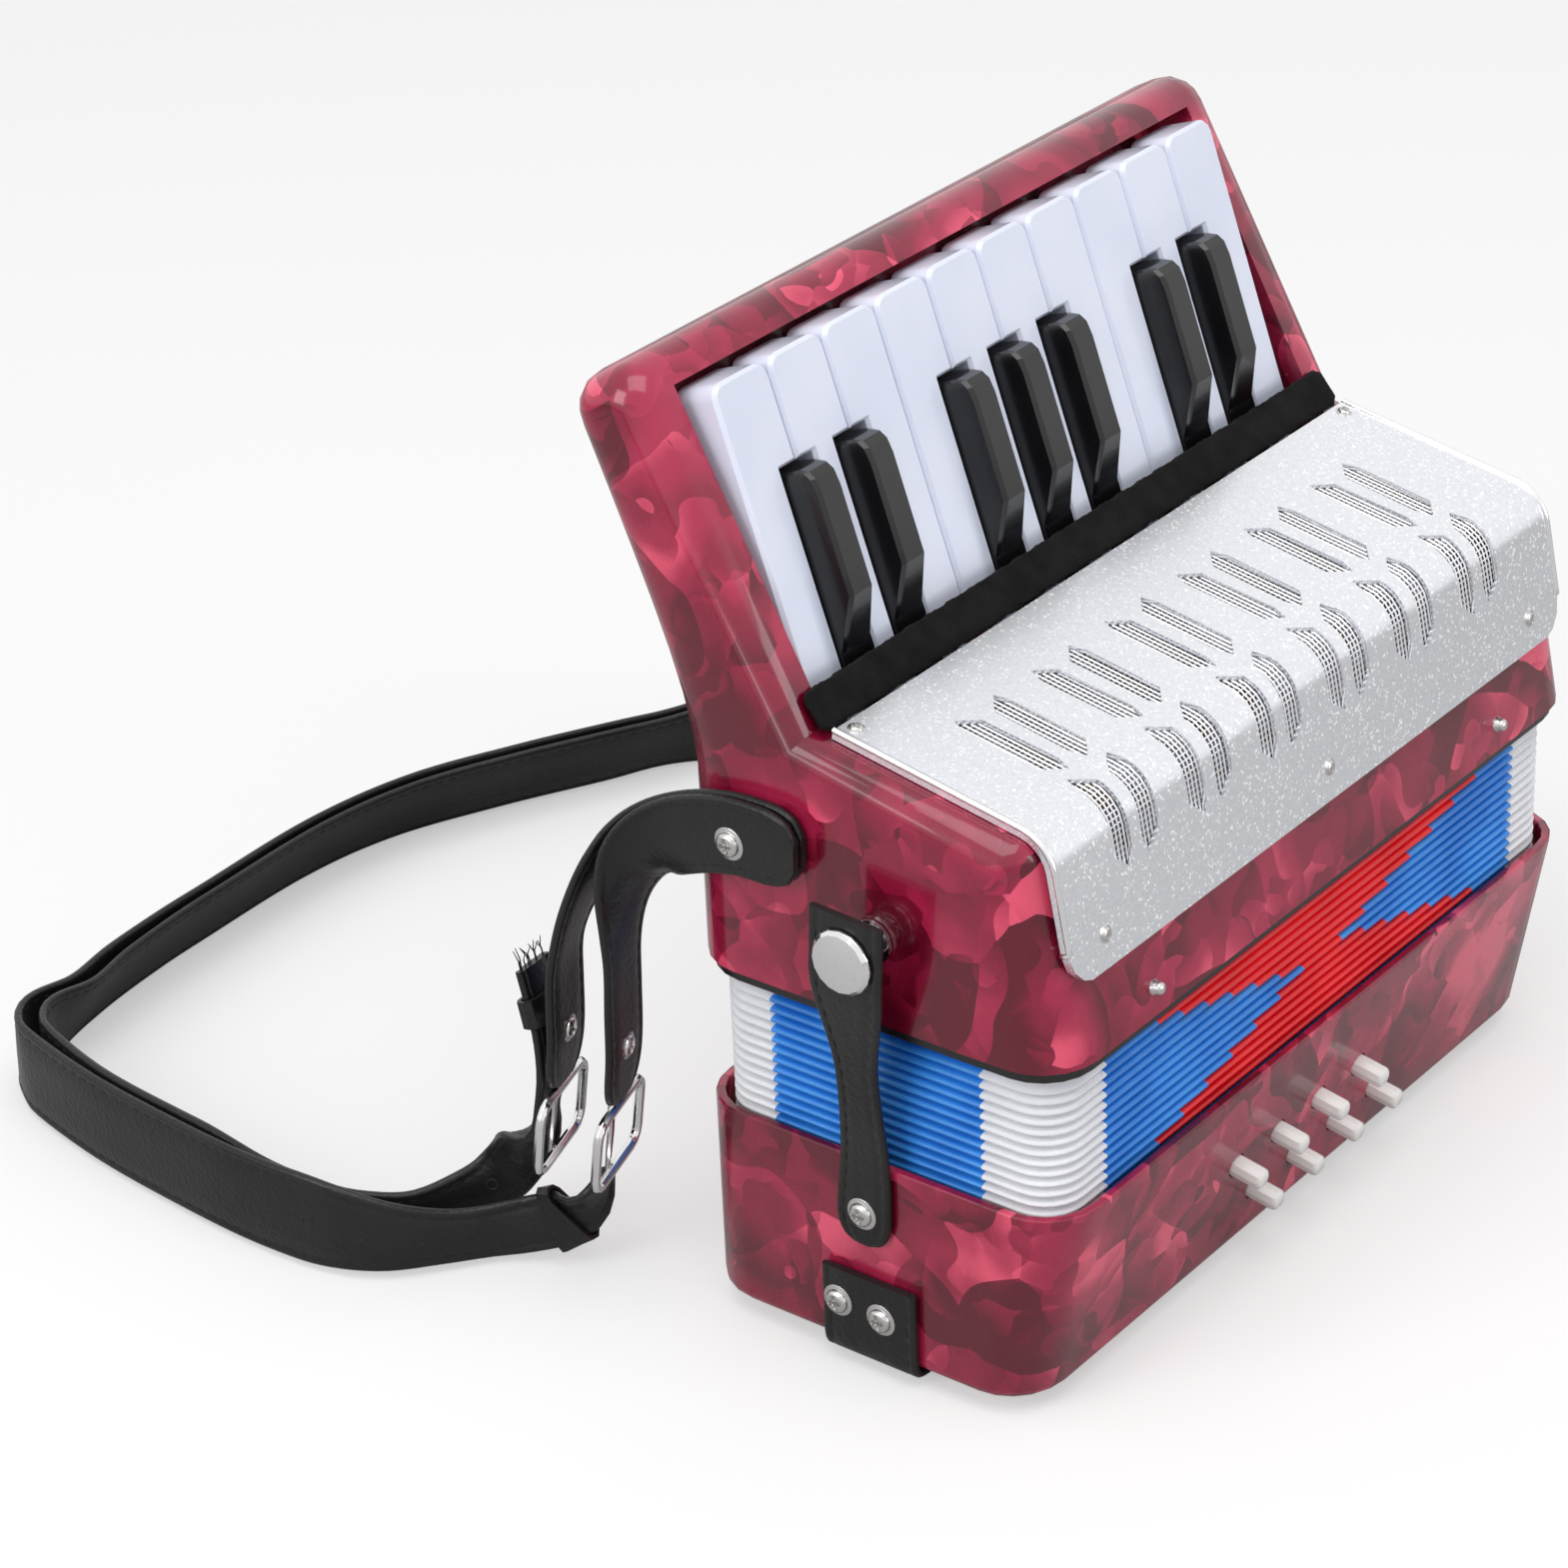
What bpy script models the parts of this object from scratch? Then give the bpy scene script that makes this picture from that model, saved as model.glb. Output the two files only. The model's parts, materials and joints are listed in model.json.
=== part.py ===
"""Child-size piano accordion, standing on its bass end with the bellows closed.

X runs along the keyboard, -Y is the side with the grille and the bass buttons,
+Z is up along the bellows. All sizes are in metres.
"""

import math

import bmesh
import bpy
import numpy as np

# Driving dimensions: keyboard
WHITE_COUNT = 10
BLACK_AFTER = (1, 2, 4, 5, 6, 8, 9)   # a black key follows these white keys
KEY_PITCH = 0.0200
KEY_GAP = 0.0006                      # between neighbouring keys
KEY_LEAN = math.radians(28.2)         # keyboard panel leans back from the vertical
KEYS_LEAN = math.radians(18.9)        # the keys stand steeper than the panel
KEY_LENGTH = 0.0793                   # from the kink to the outer end
KEY_ROOT = 0.0030                     # where the key plate starts
KEY_SINK = 0.0055                     # white tops behind the kink
KEY_THICK = 0.0070                    # at the root
KEY_END_THICK = 0.0120                # at the outer end
KEY_END_R = 0.0035
BLACK_TIP = 0.0535
BLACK_W = 0.0112
BLACK_TOP_W = 0.0082
BLACK_RISE = 0.0072                   # above the white tops
BLACK_SLOPE_END = 0.0230              # full height from here outwards
KEY_TRAVEL = math.radians(3.5)

# Driving dimensions: key action
AXLE_R = 0.0015
AXLE_DOWN = 0.0020                    # axle below the kink, along the lean
AXLE_DEEP = 0.0080                    # axle behind the rim plane
LEVER_W = 0.0056
LEVER_T = 0.0066
PALLET_T = 0.0040
PALLET_L = 0.0170
WHITE_PALLET_Y = -0.0300
BLACK_PALLET_Y = -0.0060
WHITE_PALLET_W = 0.0140
BLACK_PALLET_W = 0.0096
TONE_HOLE_L = 0.0120
TONE_HOLE_W = 0.0055

# Driving dimensions: cases
CASE_D = 0.1068
CASE_WALL = 0.0024
CORNER_R = 0.0150
CORNER_STEPS = 5
CHEEK_W = 0.0125                      # keyboard frame beside the keys
KEY_SIDE_GAP = 0.0025
PANEL_T = 0.0240                      # keyboard panel at its top end
PANEL_TOP = 0.0922                    # panel length along the lean
PANEL_EDGE_R = 0.0092
RECESS_END_GAP = 0.0018
RECESS_DEPTH = 0.0145
BODY_FRONT_H = 0.0519                 # front edge of the treble body
TREBLE_FRONT_LEAN = 0.0095            # treble front drawn in at its top
BODY_SLOPE = math.radians(10.65)
BODY_BEND_R = 0.0086
BODY_EDGE_R = 0.0075
KINK_Y = 0.0175                       # where body top and keyboard meet
BACK_RISE = 0.0480                    # height of the straight back wall
FOOT_H = 0.0045
FOOT_R = 0.0075
FOOT_INSET = 0.0160
BASS_H = 0.0537
BASS_FRONT_LEAN = 0.0105              # bass front drawn in at the bottom
BASS_FLOOR = 0.0026
BASS_EDGE_R = 0.0030

# Driving dimensions: bellows
FOLDS = 15
FOLD_PITCH = 0.00272
FOLD_DEPTH = 0.0090
FOLD_CLOTH = 0.0022
BELLOWS_CLEAR = 0.0020                # bellows to the inside of the rim
FLANGE_H = 0.0029
FLANGE_INSET = 0.0015
SPIGOT_H = 0.0060
FRAME_W = 0.0120
BASS_FRAME_H = 0.0022
BASS_FRAME_DROP = 0.0059              # top of the bass frame below the rim

# Driving dimensions: boards and reed blocks
BOARD_T = 0.0030
BASS_BOARD_T = 0.0020
TREBLE_BOARD_RISE = 0.0252            # above the treble case's lower edge
REED_BLOCK_W = 0.0130
REED_BLOCK_DROP = 0.0170
BASS_BLOCK_H = 0.0260
BLOCK_TAPER = 0.0030
BLOCK_END = 0.0180                    # block ends to the case's inner wall

# Driving dimensions: grille
GRILLE_SIDE = 0.0080                  # case showing beside the grille
GRILLE_RISE = 0.0025
GRILLE_T = 0.0010
GRILLE_BACK = 0.0047                  # its back edge, in front of the kink
GRILLE_LOW = 0.0200                   # its lower edge above the case's edge
GRILLE_CORNER_R = 0.0085
MESH_T = 0.0008
SLOT_PAIRS = 6
SLOT_PAIR_PITCH = 0.0298
SLOT_MIDDLE = -0.0018                 # middle of the slot pattern across the grille
SLOT_SPREAD = 0.0056                  # slot centre to the pair's centre
SLOT_W = 0.0068
SLOT_L = 0.0291
SLOT_SLANT = 0.0002
SLOT_TIP_SHIFT = 0.0020               # slot tips aside: out at the back, in at the front
SLOT_BACK = 0.0213                    # top slots' back ends, from the kink
BEND_SLOT_L = 0.0236
BEND_SLOT_START = 0.0023              # gap between top slots and bend slots

# Driving dimensions: key strip and felt
STRIP_T = 0.0016
STRIP_REACH = 0.0090                  # along the keys, from the kink
STRIP_OVERHANG = 0.0050
FELT_W = 0.0100

# Driving dimensions: bass buttons
BUTTON_COLS = 4
BUTTON_PITCH = 0.0183
BUTTON_X0 = -0.0352
BUTTON_ROW_STEP = 0.0112
BUTTON_ROW_Z = (0.0278, 0.0148)       # above the bass case's bottom
BUTTON_R = 0.0028
BUTTON_OUT = 0.0080
BUTTON_IN = 0.0034
BUTTON_STEM_R = 0.0017
BUTTON_CLIP_R = 0.0025
BUTTON_TRAVEL = 0.0040
GUIDE_IN = 0.0112                     # guide board behind the front wall
GUIDE_T = 0.0025
GUIDE_MARGIN = 0.0090

# Driving dimensions: straps
LEATHER_T = 0.0020
HAND_STRAP_W = 0.0270
HAND_STRAP_Y = 0.0010
HAND_STRAP_TOP = 0.0266
BELLOWS_STRAP_Y = 0.0015              # at its screw
BELLOWS_STRAP_SCREW = 0.0451
BELLOWS_STRAP_LOW = 0.0365
BELLOWS_STRAP_TOP = 0.1298
BELLOWS_STRAP_W = (0.0156, 0.0118, 0.0200)
SNAP_Y = -0.0030
SNAP_Z = 0.1188
STUD_R = 0.0055
STUD_POST_R = 0.0030
STUD_H = 0.0040
SOCKET_R = 0.0050
SOCKET_H = 0.0044
RIVET_R = 0.0024
CAP_R = 0.0082
CAP_H = 0.0024
SHOULDER_W = 0.0260
SHOULDER_T = 0.0028
TAB_W = 0.0196
BILLET_W = 0.0150                     # the long straps narrow to this at the buckle
TAB_STEPS = 26
STRAP_STEPS = 110
BUCKLE_W = 0.0255
BUCKLE_L = 0.0195
BUCKLE_BAR = 0.0026

# Clearances
GAP = 0.0003
RUN_GAP = 0.0003                      # axle and stems in their holes

# Derived places
HALF_W = WHITE_COUNT * KEY_PITCH / 2 + KEY_SIDE_GAP + CHEEK_W
HALF_D = CASE_D / 2
RIM_Z = FOOT_H + BASS_H
BASS_FRAME_TOP = RIM_Z - BASS_FRAME_DROP
BASS_BOARD_TOP = BASS_FRAME_TOP - BASS_FRAME_H - GAP
BASS_BOARD_LOW = BASS_BOARD_TOP - BASS_BOARD_T
BELLOWS_Z0 = BASS_FRAME_TOP + GAP
BELLOWS_Z1 = BELLOWS_Z0 + FOLDS * FOLD_PITCH
FLANGE_Z = BELLOWS_Z1 + GAP
TREBLE_Z = FLANGE_Z + FLANGE_H + GAP
TREBLE_BOARD_LOW = TREBLE_Z + TREBLE_BOARD_RISE
TREBLE_BOARD_TOP = TREBLE_BOARD_LOW + BOARD_T
BELLOWS_INSET = CASE_WALL + BELLOWS_CLEAR
FRONT_EDGE_Z = TREBLE_Z + BODY_FRONT_H
KINK_Z = FRONT_EDGE_Z + (KINK_Y + HALF_D) * math.tan(BODY_SLOPE)
KEY_HALF = WHITE_COUNT * KEY_PITCH / 2
RECESS_HALF = KEY_HALF + KEY_SIDE_GAP
GRILLE_HALF = HALF_W - GRILLE_SIDE
BUTTON_TILT = math.atan(BASS_FRONT_LEAN / BASS_H)
BUTTON_OUTWARD = np.array([0.0, -math.cos(BUTTON_TILT), -math.sin(BUTTON_TILT)])
LEAN_UP = np.array([math.sin(KEY_LEAN), math.cos(KEY_LEAN)])
LEAN_OUT = np.array([-math.cos(KEY_LEAN), math.sin(KEY_LEAN)])
KINK = np.array([KINK_Y, KINK_Z])
KEYS_UP = np.array([math.sin(KEYS_LEAN), math.cos(KEYS_LEAN)])
KEYS_OUT = np.array([-math.cos(KEYS_LEAN), math.sin(KEYS_LEAN)])


def keyboard_yz(along, out):
    """Point of the Y-Z plane at a length along the panel and a height off its front."""
    return KINK + along * LEAN_UP + out * LEAN_OUT


def keys_yz(along, out):
    """The same for the keys, which stand steeper than the panel."""
    return KINK + along * KEYS_UP + out * KEYS_OUT


def key_under(along):
    """Underside of a white key, thicker towards its outer end."""
    share = (along - KEY_ROOT) / (KEY_LENGTH - KEY_ROOT)
    return -KEY_SINK - KEY_THICK - (KEY_END_THICK - KEY_THICK) * share


def pressed(point):
    """Where a point of a key goes when the key is pressed home."""
    turn = np.array([[math.cos(KEY_TRAVEL), math.sin(KEY_TRAVEL)], [-math.sin(KEY_TRAVEL), math.cos(KEY_TRAVEL)]])
    return PIVOT + turn @ (point - PIVOT)


PIVOT = keyboard_yz(-AXLE_DOWN, -AXLE_DEEP)
KEY_END = keys_yz(KEY_LENGTH, key_under(KEY_LENGTH))
RECESS_END = float((KEY_END - KINK) @ LEAN_UP) + RECESS_END_GAP

MATERIALS = {
    "pearl_red": ((0.42, 0.02, 0.05), 0.18, 0.0),
    "silver": ((0.72, 0.73, 0.76), 0.35, 0.9),
    "mesh": ((0.30, 0.30, 0.32), 0.5, 0.8),
    "ivory": ((0.82, 0.83, 0.88), 0.25, 0.0),
    "ebony": ((0.012, 0.012, 0.014), 0.35, 0.0),
    "black_felt": ((0.010, 0.010, 0.011), 0.9, 0.0),
    "black_plastic": ((0.014, 0.014, 0.015), 0.5, 0.0),
    "steel": ((0.62, 0.62, 0.64), 0.25, 1.0),
    "chrome": ((0.80, 0.80, 0.82), 0.10, 1.0),
    "wood": ((0.56, 0.38, 0.21), 0.55, 0.0),
    "blue_cloth": ((0.02, 0.16, 0.58), 0.4, 0.0),
    "rubber": ((0.015, 0.015, 0.015), 0.8, 0.0),
    "leather": ((0.022, 0.022, 0.022), 0.5, 0.0),
    "white_plastic": ((0.80, 0.80, 0.84), 0.3, 0.0),
}


def clear_scene():
    for item in list(bpy.data.objects):
        bpy.data.objects.remove(item, do_unlink=True)


def material(name):
    found = bpy.data.materials.get(name)
    if found:
        return found
    color, roughness, metallic = MATERIALS[name]
    made = bpy.data.materials.new(name)
    made.use_nodes = True
    shader = made.node_tree.nodes["Principled BSDF"]
    shader.inputs["Base Color"].default_value = (*color, 1.0)
    shader.inputs["Roughness"].default_value = roughness
    shader.inputs["Metallic"].default_value = metallic
    return made


def add_object(name, shape, finish, origin=(0.0, 0.0, 0.0)):
    """Object from (points, faces), with its own origin and outward faces."""
    points, faces = shape
    origin = np.array(origin, float)
    mesh = bpy.data.meshes.new(name)
    mesh.from_pydata([tuple(np.array(p) - origin) for p in points], [], faces)
    work = bmesh.new()
    work.from_mesh(mesh)
    bmesh.ops.remove_doubles(work, verts=work.verts, dist=2e-6)
    bmesh.ops.recalc_face_normals(work, faces=work.faces)
    work.to_mesh(mesh)
    work.free()
    made = bpy.data.objects.new(name, mesh)
    made.location = origin
    made.data.materials.append(material(finish))
    bpy.context.scene.collection.objects.link(made)
    return made


def combine(target, tool_shape, operation="DIFFERENCE"):
    """Cut a tool shape from the target, or join it on."""
    tool = add_object("tool", tool_shape, "steel")
    change = target.modifiers.new("change", "BOOLEAN")
    change.object = tool
    change.operation = operation
    change.solver = "EXACT"
    bpy.context.view_layer.update()
    graph = bpy.context.evaluated_depsgraph_get()
    changed = bpy.data.meshes.new_from_object(target.evaluated_get(graph))
    target.modifiers.clear()
    work = bmesh.new()
    work.from_mesh(changed)
    bmesh.ops.remove_doubles(work, verts=work.verts, dist=2e-6)
    bmesh.ops.dissolve_degenerate(work, edges=work.edges, dist=2e-6)
    work.to_mesh(changed)
    work.free()
    old = target.data
    finish = old.materials[0]
    target.data = changed
    changed.materials.clear()
    changed.materials.append(finish)
    bpy.data.meshes.remove(old)
    bpy.data.objects.remove(tool, do_unlink=True)
    return target


def smooth(item, angle=35.0):
    item.data.shade_smooth()
    item.data.set_sharp_from_angle(angle=math.radians(angle))
    return item


def merge_shapes(shapes):
    points = []
    faces = []
    for shape_points, shape_faces in shapes:
        start = len(points)
        points.extend(shape_points)
        faces.extend(tuple(start + i for i in face) for face in shape_faces)
    return points, faces


def loft(rings, closed=False):
    """Skin over rings of equal count; closed makes a ring of rings."""
    count = len(rings[0])
    steps = len(rings)
    points = [tuple(p) for ring in rings for p in ring]
    faces = []
    for i in range(steps if closed else steps - 1):
        j = (i + 1) % steps
        for k in range(count):
            n = (k + 1) % count
            faces.append((i * count + k, i * count + n, j * count + n, j * count + k))
    if not closed:
        faces.append(tuple(range(count))[::-1])
        faces.append(tuple((steps - 1) * count + k for k in range(count)))
    return points, faces


def prism_x(outline, x0, x1):
    """Outline of (y, z) points, extruded along X."""
    return loft([[(x, y, z) for y, z in outline] for x in (x0, x1)])


def prism_z(outline, z0, z1):
    """Outline of (x, y) points, extruded along Z."""
    return loft([[(x, y, z) for x, y in outline] for z in (z0, z1)])


def box(x0, x1, y0, y1, z0, z1):
    return prism_z([(x0, y0), (x1, y0), (x1, y1), (x0, y1)], z0, z1)


def arc(center, radius, start, end, steps):
    angles = np.linspace(start, end, steps + 1)
    return [np.array(center) + radius * np.array([math.cos(a), math.sin(a)]) for a in angles]


def fillet(before, corner, after, radius, steps):
    """Points of a round between two straight sides that meet at a corner."""
    before, corner, after = (np.array(p, float) for p in (before, corner, after))
    to_before = (before - corner) / np.linalg.norm(before - corner)
    to_after = (after - corner) / np.linalg.norm(after - corner)
    half = math.acos(float(np.clip(to_before @ to_after, -1.0, 1.0))) / 2
    reach = radius / math.tan(half)
    middle = to_before + to_after
    center = corner + middle / np.linalg.norm(middle) * radius / math.sin(half)
    first = corner + to_before * reach - center
    last = corner + to_after * reach - center
    start = math.atan2(first[1], first[0])
    turn = math.atan2(last[1], last[0]) - start
    turn = (turn + math.pi) % (2 * math.pi) - math.pi
    return arc(center, radius, start, start + turn, steps)


def round_rect(x0, x1, y0, y1, radius, steps=CORNER_STEPS):
    """Rounded rectangle as (x, y) points, anticlockwise."""
    quarter = math.pi / 2
    points = []
    points += arc((x1 - radius, y0 + radius), radius, -quarter, 0.0, steps)
    points += arc((x1 - radius, y1 - radius), radius, 0.0, quarter, steps)
    points += arc((x0 + radius, y1 - radius), radius, quarter, 2 * quarter, steps)
    points += arc((x0 + radius, y0 + radius), radius, 2 * quarter, 3 * quarter, steps)
    return points


def lift(outline, z):
    return [(p[0], p[1], z) for p in outline]


def case_outline(inset, steps=CORNER_STEPS):
    """Plan of the treble case and the bellows, drawn in by an inset."""
    radius = max(CORNER_R - inset, 0.002)
    return round_rect(-HALF_W + inset, HALF_W - inset, -HALF_D + inset, HALF_D - inset, radius, steps)


def bass_front(z):
    share = (z - FOOT_H) / BASS_H
    return -HALF_D + BASS_FRONT_LEAN * (1.0 - share)


def bass_outline(z, inset, steps=CORNER_STEPS):
    radius = max(CORNER_R - inset, 0.002)
    return round_rect(-HALF_W + inset, HALF_W - inset, bass_front(z) + inset, HALF_D - inset, radius, steps)


def treble_front(z):
    return -HALF_D + TREBLE_FRONT_LEAN * (z - TREBLE_Z) / BODY_FRONT_H


def treble_outline(z, inset, steps=CORNER_STEPS):
    radius = max(CORNER_R - inset, 0.002)
    return round_rect(-HALF_W + inset, HALF_W - inset, treble_front(z) + inset, HALF_D - inset, radius, steps)


def front_corner(inset, drop):
    """Where the treble front wall, moved in, meets the body's sloping top, moved down."""
    rise = math.tan(BODY_SLOPE)
    lean = TREBLE_FRONT_LEAN / BODY_FRONT_H
    height = (BODY_FRONT_H + inset * rise - drop) / (1.0 - lean * rise)
    return np.array([treble_front(TREBLE_Z + height) + inset, TREBLE_Z + height])


def ring_frame(outer, inner, z0, z1):
    """Flat frame between an outer and an inner outline."""
    return loft([lift(outer, z0), lift(outer, z1), lift(inner, z1), lift(inner, z0)], closed=True)


def turned(profile, base, axis, sides=16):
    """Solid turned from (radius, length) pairs about an axis."""
    axis = np.array(axis, float)
    axis = axis / np.linalg.norm(axis)
    helper = np.array([0.0, 0.0, 1.0]) if abs(axis[2]) < 0.9 else np.array([1.0, 0.0, 0.0])
    side = np.cross(helper, axis)
    side = side / np.linalg.norm(side)
    other = np.cross(axis, side)
    rings = []
    for radius, length in profile:
        ring = []
        for k in range(sides):
            angle = 2 * math.pi * k / sides
            spoke = math.cos(angle) * side + math.sin(angle) * other
            ring.append(np.array(base) + axis * length + radius * spoke)
        rings.append(ring)
    return loft(rings)


def offset_outline(outline, distance):
    """Outline moved inwards; anticlockwise points, one distance or one for each."""
    points = np.array(outline, float)
    distances = np.broadcast_to(np.array(distance, float), (len(points),))
    before = points - np.roll(points, 1, axis=0)
    after = np.roll(points, -1, axis=0) - points
    before = before / np.linalg.norm(before, axis=1, keepdims=True)
    after = after / np.linalg.norm(after, axis=1, keepdims=True)
    normal_a = np.stack([-before[:, 1], before[:, 0]], axis=1)
    normal_b = np.stack([-after[:, 1], after[:, 0]], axis=1)
    middle = normal_a + normal_b
    share = 2.0 / np.maximum((middle ** 2).sum(axis=1), 0.5)
    return points + middle * share[:, None] * distances[:, None]


def thick_path(path, width):
    """Outline of a bar that follows a path of (y, z) points."""
    path = [np.array(p, float) for p in path]
    left = []
    right = []
    for i, point in enumerate(path):
        before = path[max(i - 1, 0)]
        after = path[min(i + 1, len(path) - 1)]
        ahead = after - point if i + 1 < len(path) else point - before
        back = point - before if i > 0 else ahead
        ahead = ahead / np.linalg.norm(ahead)
        back = back / np.linalg.norm(back)
        normal = np.array([-ahead[1] - back[1], ahead[0] + back[0]])
        normal = normal / (normal @ normal) * 2.0
        left.append(point + normal * width / 2)
        right.append(point - normal * width / 2)
    return left + right[::-1]


def smooth_route(points, count):
    """Even samples of a smooth curve through the given points."""
    points = np.array(points, float)
    padded = np.vstack([2 * points[0] - points[1], points, 2 * points[-1] - points[-2]])
    dense = []
    for i in range(len(points) - 1):
        a, b, c, d = padded[i:i + 4]
        for t in np.linspace(0.0, 1.0, 16, endpoint=False):
            dense.append(0.5 * (2 * b + (c - a) * t + (2 * a - 5 * b + 4 * c - d) * t ** 2
                                + (3 * b - a - 3 * c + d) * t ** 3))
    dense.append(points[-1])
    dense = np.array(dense)
    step = np.linalg.norm(np.diff(dense[:, :3], axis=0), axis=1)
    length = np.concatenate([[0.0], np.cumsum(step)])
    wanted = np.linspace(0.0, length[-1], count)
    even = np.stack([np.interp(wanted, length, dense[:, k]) for k in range(dense.shape[1])], axis=1)
    return even, length[-1]


def band(route, width, thickness, count, round_end=0.0, billet=0.0):
    """Flat strap: route rows are a point and the direction of the strap's width.

    With a billet length the strap starts narrow and widens after that length.
    """
    even, length = smooth_route(route, count)
    places = even[:, :3]
    tangents = np.gradient(places, axis=0)
    rings = []
    for i in range(count):
        tangent = tangents[i] / np.linalg.norm(tangents[i])
        across = even[i, 3:6] - tangent * (even[i, 3:6] @ tangent)
        across = across / np.linalg.norm(across)
        face = np.cross(tangent, across)
        from_end = length * min(i, count - 1 - i) / (count - 1)
        half = width / 2
        if billet:
            share = float(np.clip((length * i / (count - 1) - billet) / 0.045, 0.0, 1.0))
            half = (BILLET_W + (width - BILLET_W) * share * share * (3.0 - 2.0 * share)) / 2
        if round_end and from_end < round_end:
            share = 1.0 - from_end / round_end
            half = half * (0.45 + 0.55 * math.sqrt(max(1.0 - share ** 2, 0.0)))
        ring = []
        for u, v in ((-1, -1), (1, -1), (1, 1), (-1, 1)):
            ring.append(places[i] + across * u * half + face * v * thickness / 2)
        rings.append(ring)
    return loft(rings), length


def treble_profile():
    """Side view of the treble case, anticlockwise from the front's lower edge seen from +X.

    Gives the (y, z) points and the round that each has where it meets the end wall.
    """
    front_low = np.array([-HALF_D, TREBLE_Z])
    bend = fillet(front_low, front_corner(0.0, 0.0), KINK, BODY_BEND_R, 5)
    top_front = keyboard_yz(PANEL_TOP, 0.0)
    top_back = keyboard_yz(PANEL_TOP, -PANEL_T)
    panel_back = keyboard_yz(PANEL_TOP - PANEL_EDGE_R * 1.2, -PANEL_T)
    over_front = fillet(KINK, top_front, top_back, PANEL_EDGE_R, 4)
    over_back = fillet(top_front, top_back, panel_back, PANEL_EDGE_R, 4)
    back_top = np.array([HALF_D, TREBLE_Z + BACK_RISE])
    reach = panel_back[1] - back_top[1]
    pull_a = panel_back + 0.45 * reach * np.array([-math.sin(KEY_LEAN * 0.75), -math.cos(KEY_LEAN * 0.75)])
    pull_b = back_top + 0.25 * reach * np.array([0.0, 1.0])
    back = []
    for t in np.linspace(0.0, 1.0, 8)[1:]:
        back.append((1 - t) ** 3 * panel_back + 3 * (1 - t) ** 2 * t * pull_a
                    + 3 * (1 - t) * t ** 2 * pull_b + t ** 3 * back_top)
    back_low = np.array([HALF_D, TREBLE_Z])
    # Seen from +X, with Y to the right and Z up, the walk below runs clockwise,
    # so it is turned round at the end.
    walk = [(front_low, CORNER_R)]
    for i, point in enumerate(bend):
        share = i / (len(bend) - 1)
        walk.append((point, CORNER_R + (BODY_EDGE_R - CORNER_R) * share))
    walk.append((KINK, BODY_EDGE_R))
    for point in over_front + over_back:
        walk.append((point, PANEL_EDGE_R))
    for i, point in enumerate(back):
        share = (i + 1) / len(back)
        walk.append((point, PANEL_EDGE_R + (CORNER_R - PANEL_EDGE_R) * share))
    walk.append((back_low, CORNER_R))
    walk = walk[::-1]
    return [p for p, _ in walk], [r for _, r in walk]


def end_rounded(profile, rounds, half_width, steps=CORNER_STEPS):
    """Profile extruded along X with its end edges rounded, point by point."""
    points = np.array(profile, float)
    rounds = np.array(rounds, float)
    inward = offset_outline(points, 1.0) - points
    lowest = points[:, 1].min()
    flat = points[:, 1] < lowest + 1e-6
    inward[flat] = np.stack([-np.sign(points[flat, 0]), np.zeros(flat.sum())], axis=1)
    rings = []
    for side in (-1.0, 1.0):
        angles = np.linspace(math.pi / 2, 0.0, steps + 1)
        if side > 0:
            angles = angles[::-1]
        for angle in angles:
            move = rounds * (1.0 - math.cos(angle))
            x = side * (half_width - rounds * (1.0 - math.sin(angle)))
            drawn = points + inward * move[:, None]
            rings.append([(x[i], drawn[i, 0], drawn[i, 1]) for i in range(len(points))])
    return loft(rings)


def treble_case():
    profile, rounds = treble_profile()
    case = add_object("treble_case", end_rounded(profile, rounds, HALF_W), "pearl_red")
    inner_back = HALF_D - CASE_WALL
    below = TREBLE_Z - 0.004
    front_below = (treble_front(below) + CASE_WALL, below)
    slope_drop = CASE_WALL / math.cos(BODY_SLOPE)
    under_kink = np.array([KINK_Y, KINK_Z - slope_drop])
    floor_low = keyboard_yz(-AXLE_DOWN - 0.010, -RECESS_DEPTH - CASE_WALL)
    floor_high = keyboard_yz(0.026, -RECESS_DEPTH - CASE_WALL)
    back_high = np.array([floor_high[0] + 0.006, floor_high[1]])
    back_low = np.array([inner_back, TREBLE_Z + BACK_RISE])
    bend = fillet(front_below, front_corner(CASE_WALL, slope_drop), under_kink, BODY_BEND_R - CASE_WALL, 5)
    walk = [(front_below, CORNER_R)]
    walk += [(p, CORNER_R) for p in bend]
    walk += [(under_kink, BODY_EDGE_R), (floor_low, BODY_EDGE_R), (floor_high, BODY_EDGE_R)]
    walk += [(back_high, BODY_EDGE_R), (back_low, CORNER_R), ((inner_back, below), CORNER_R)]
    walk = walk[::-1]
    hollow = [p for p, _ in walk]
    hollow_rounds = [r - CASE_WALL for _, r in walk]
    combine(case, end_rounded(hollow, hollow_rounds, HALF_W - CASE_WALL))
    open_half = GRILLE_HALF - 0.0075
    open_low = TREBLE_Z + GRILLE_LOW + 0.011
    combine(case, box(-open_half, open_half, -HALF_D - 0.02, KINK_Y - 0.002, open_low, KINK_Z + 0.02))
    recess = [keyboard_yz(RECESS_END, -RECESS_DEPTH),
              keyboard_yz(-0.014, -RECESS_DEPTH),
              keyboard_yz(-0.014, 0.002),
              keyboard_yz(-0.004, 0.010),
              keyboard_yz(RECESS_END, 0.010)]
    combine(case, prism_x(recess, -RECESS_HALF, RECESS_HALF))
    seat = HALF_W - CASE_WALL / 2
    combine(case, turned([(AXLE_R + RUN_GAP, 0.0), (AXLE_R + RUN_GAP, 2 * seat)],
                         (-seat, PIVOT[0], PIVOT[1]), (1, 0, 0), 12))
    return smooth(case)


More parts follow.
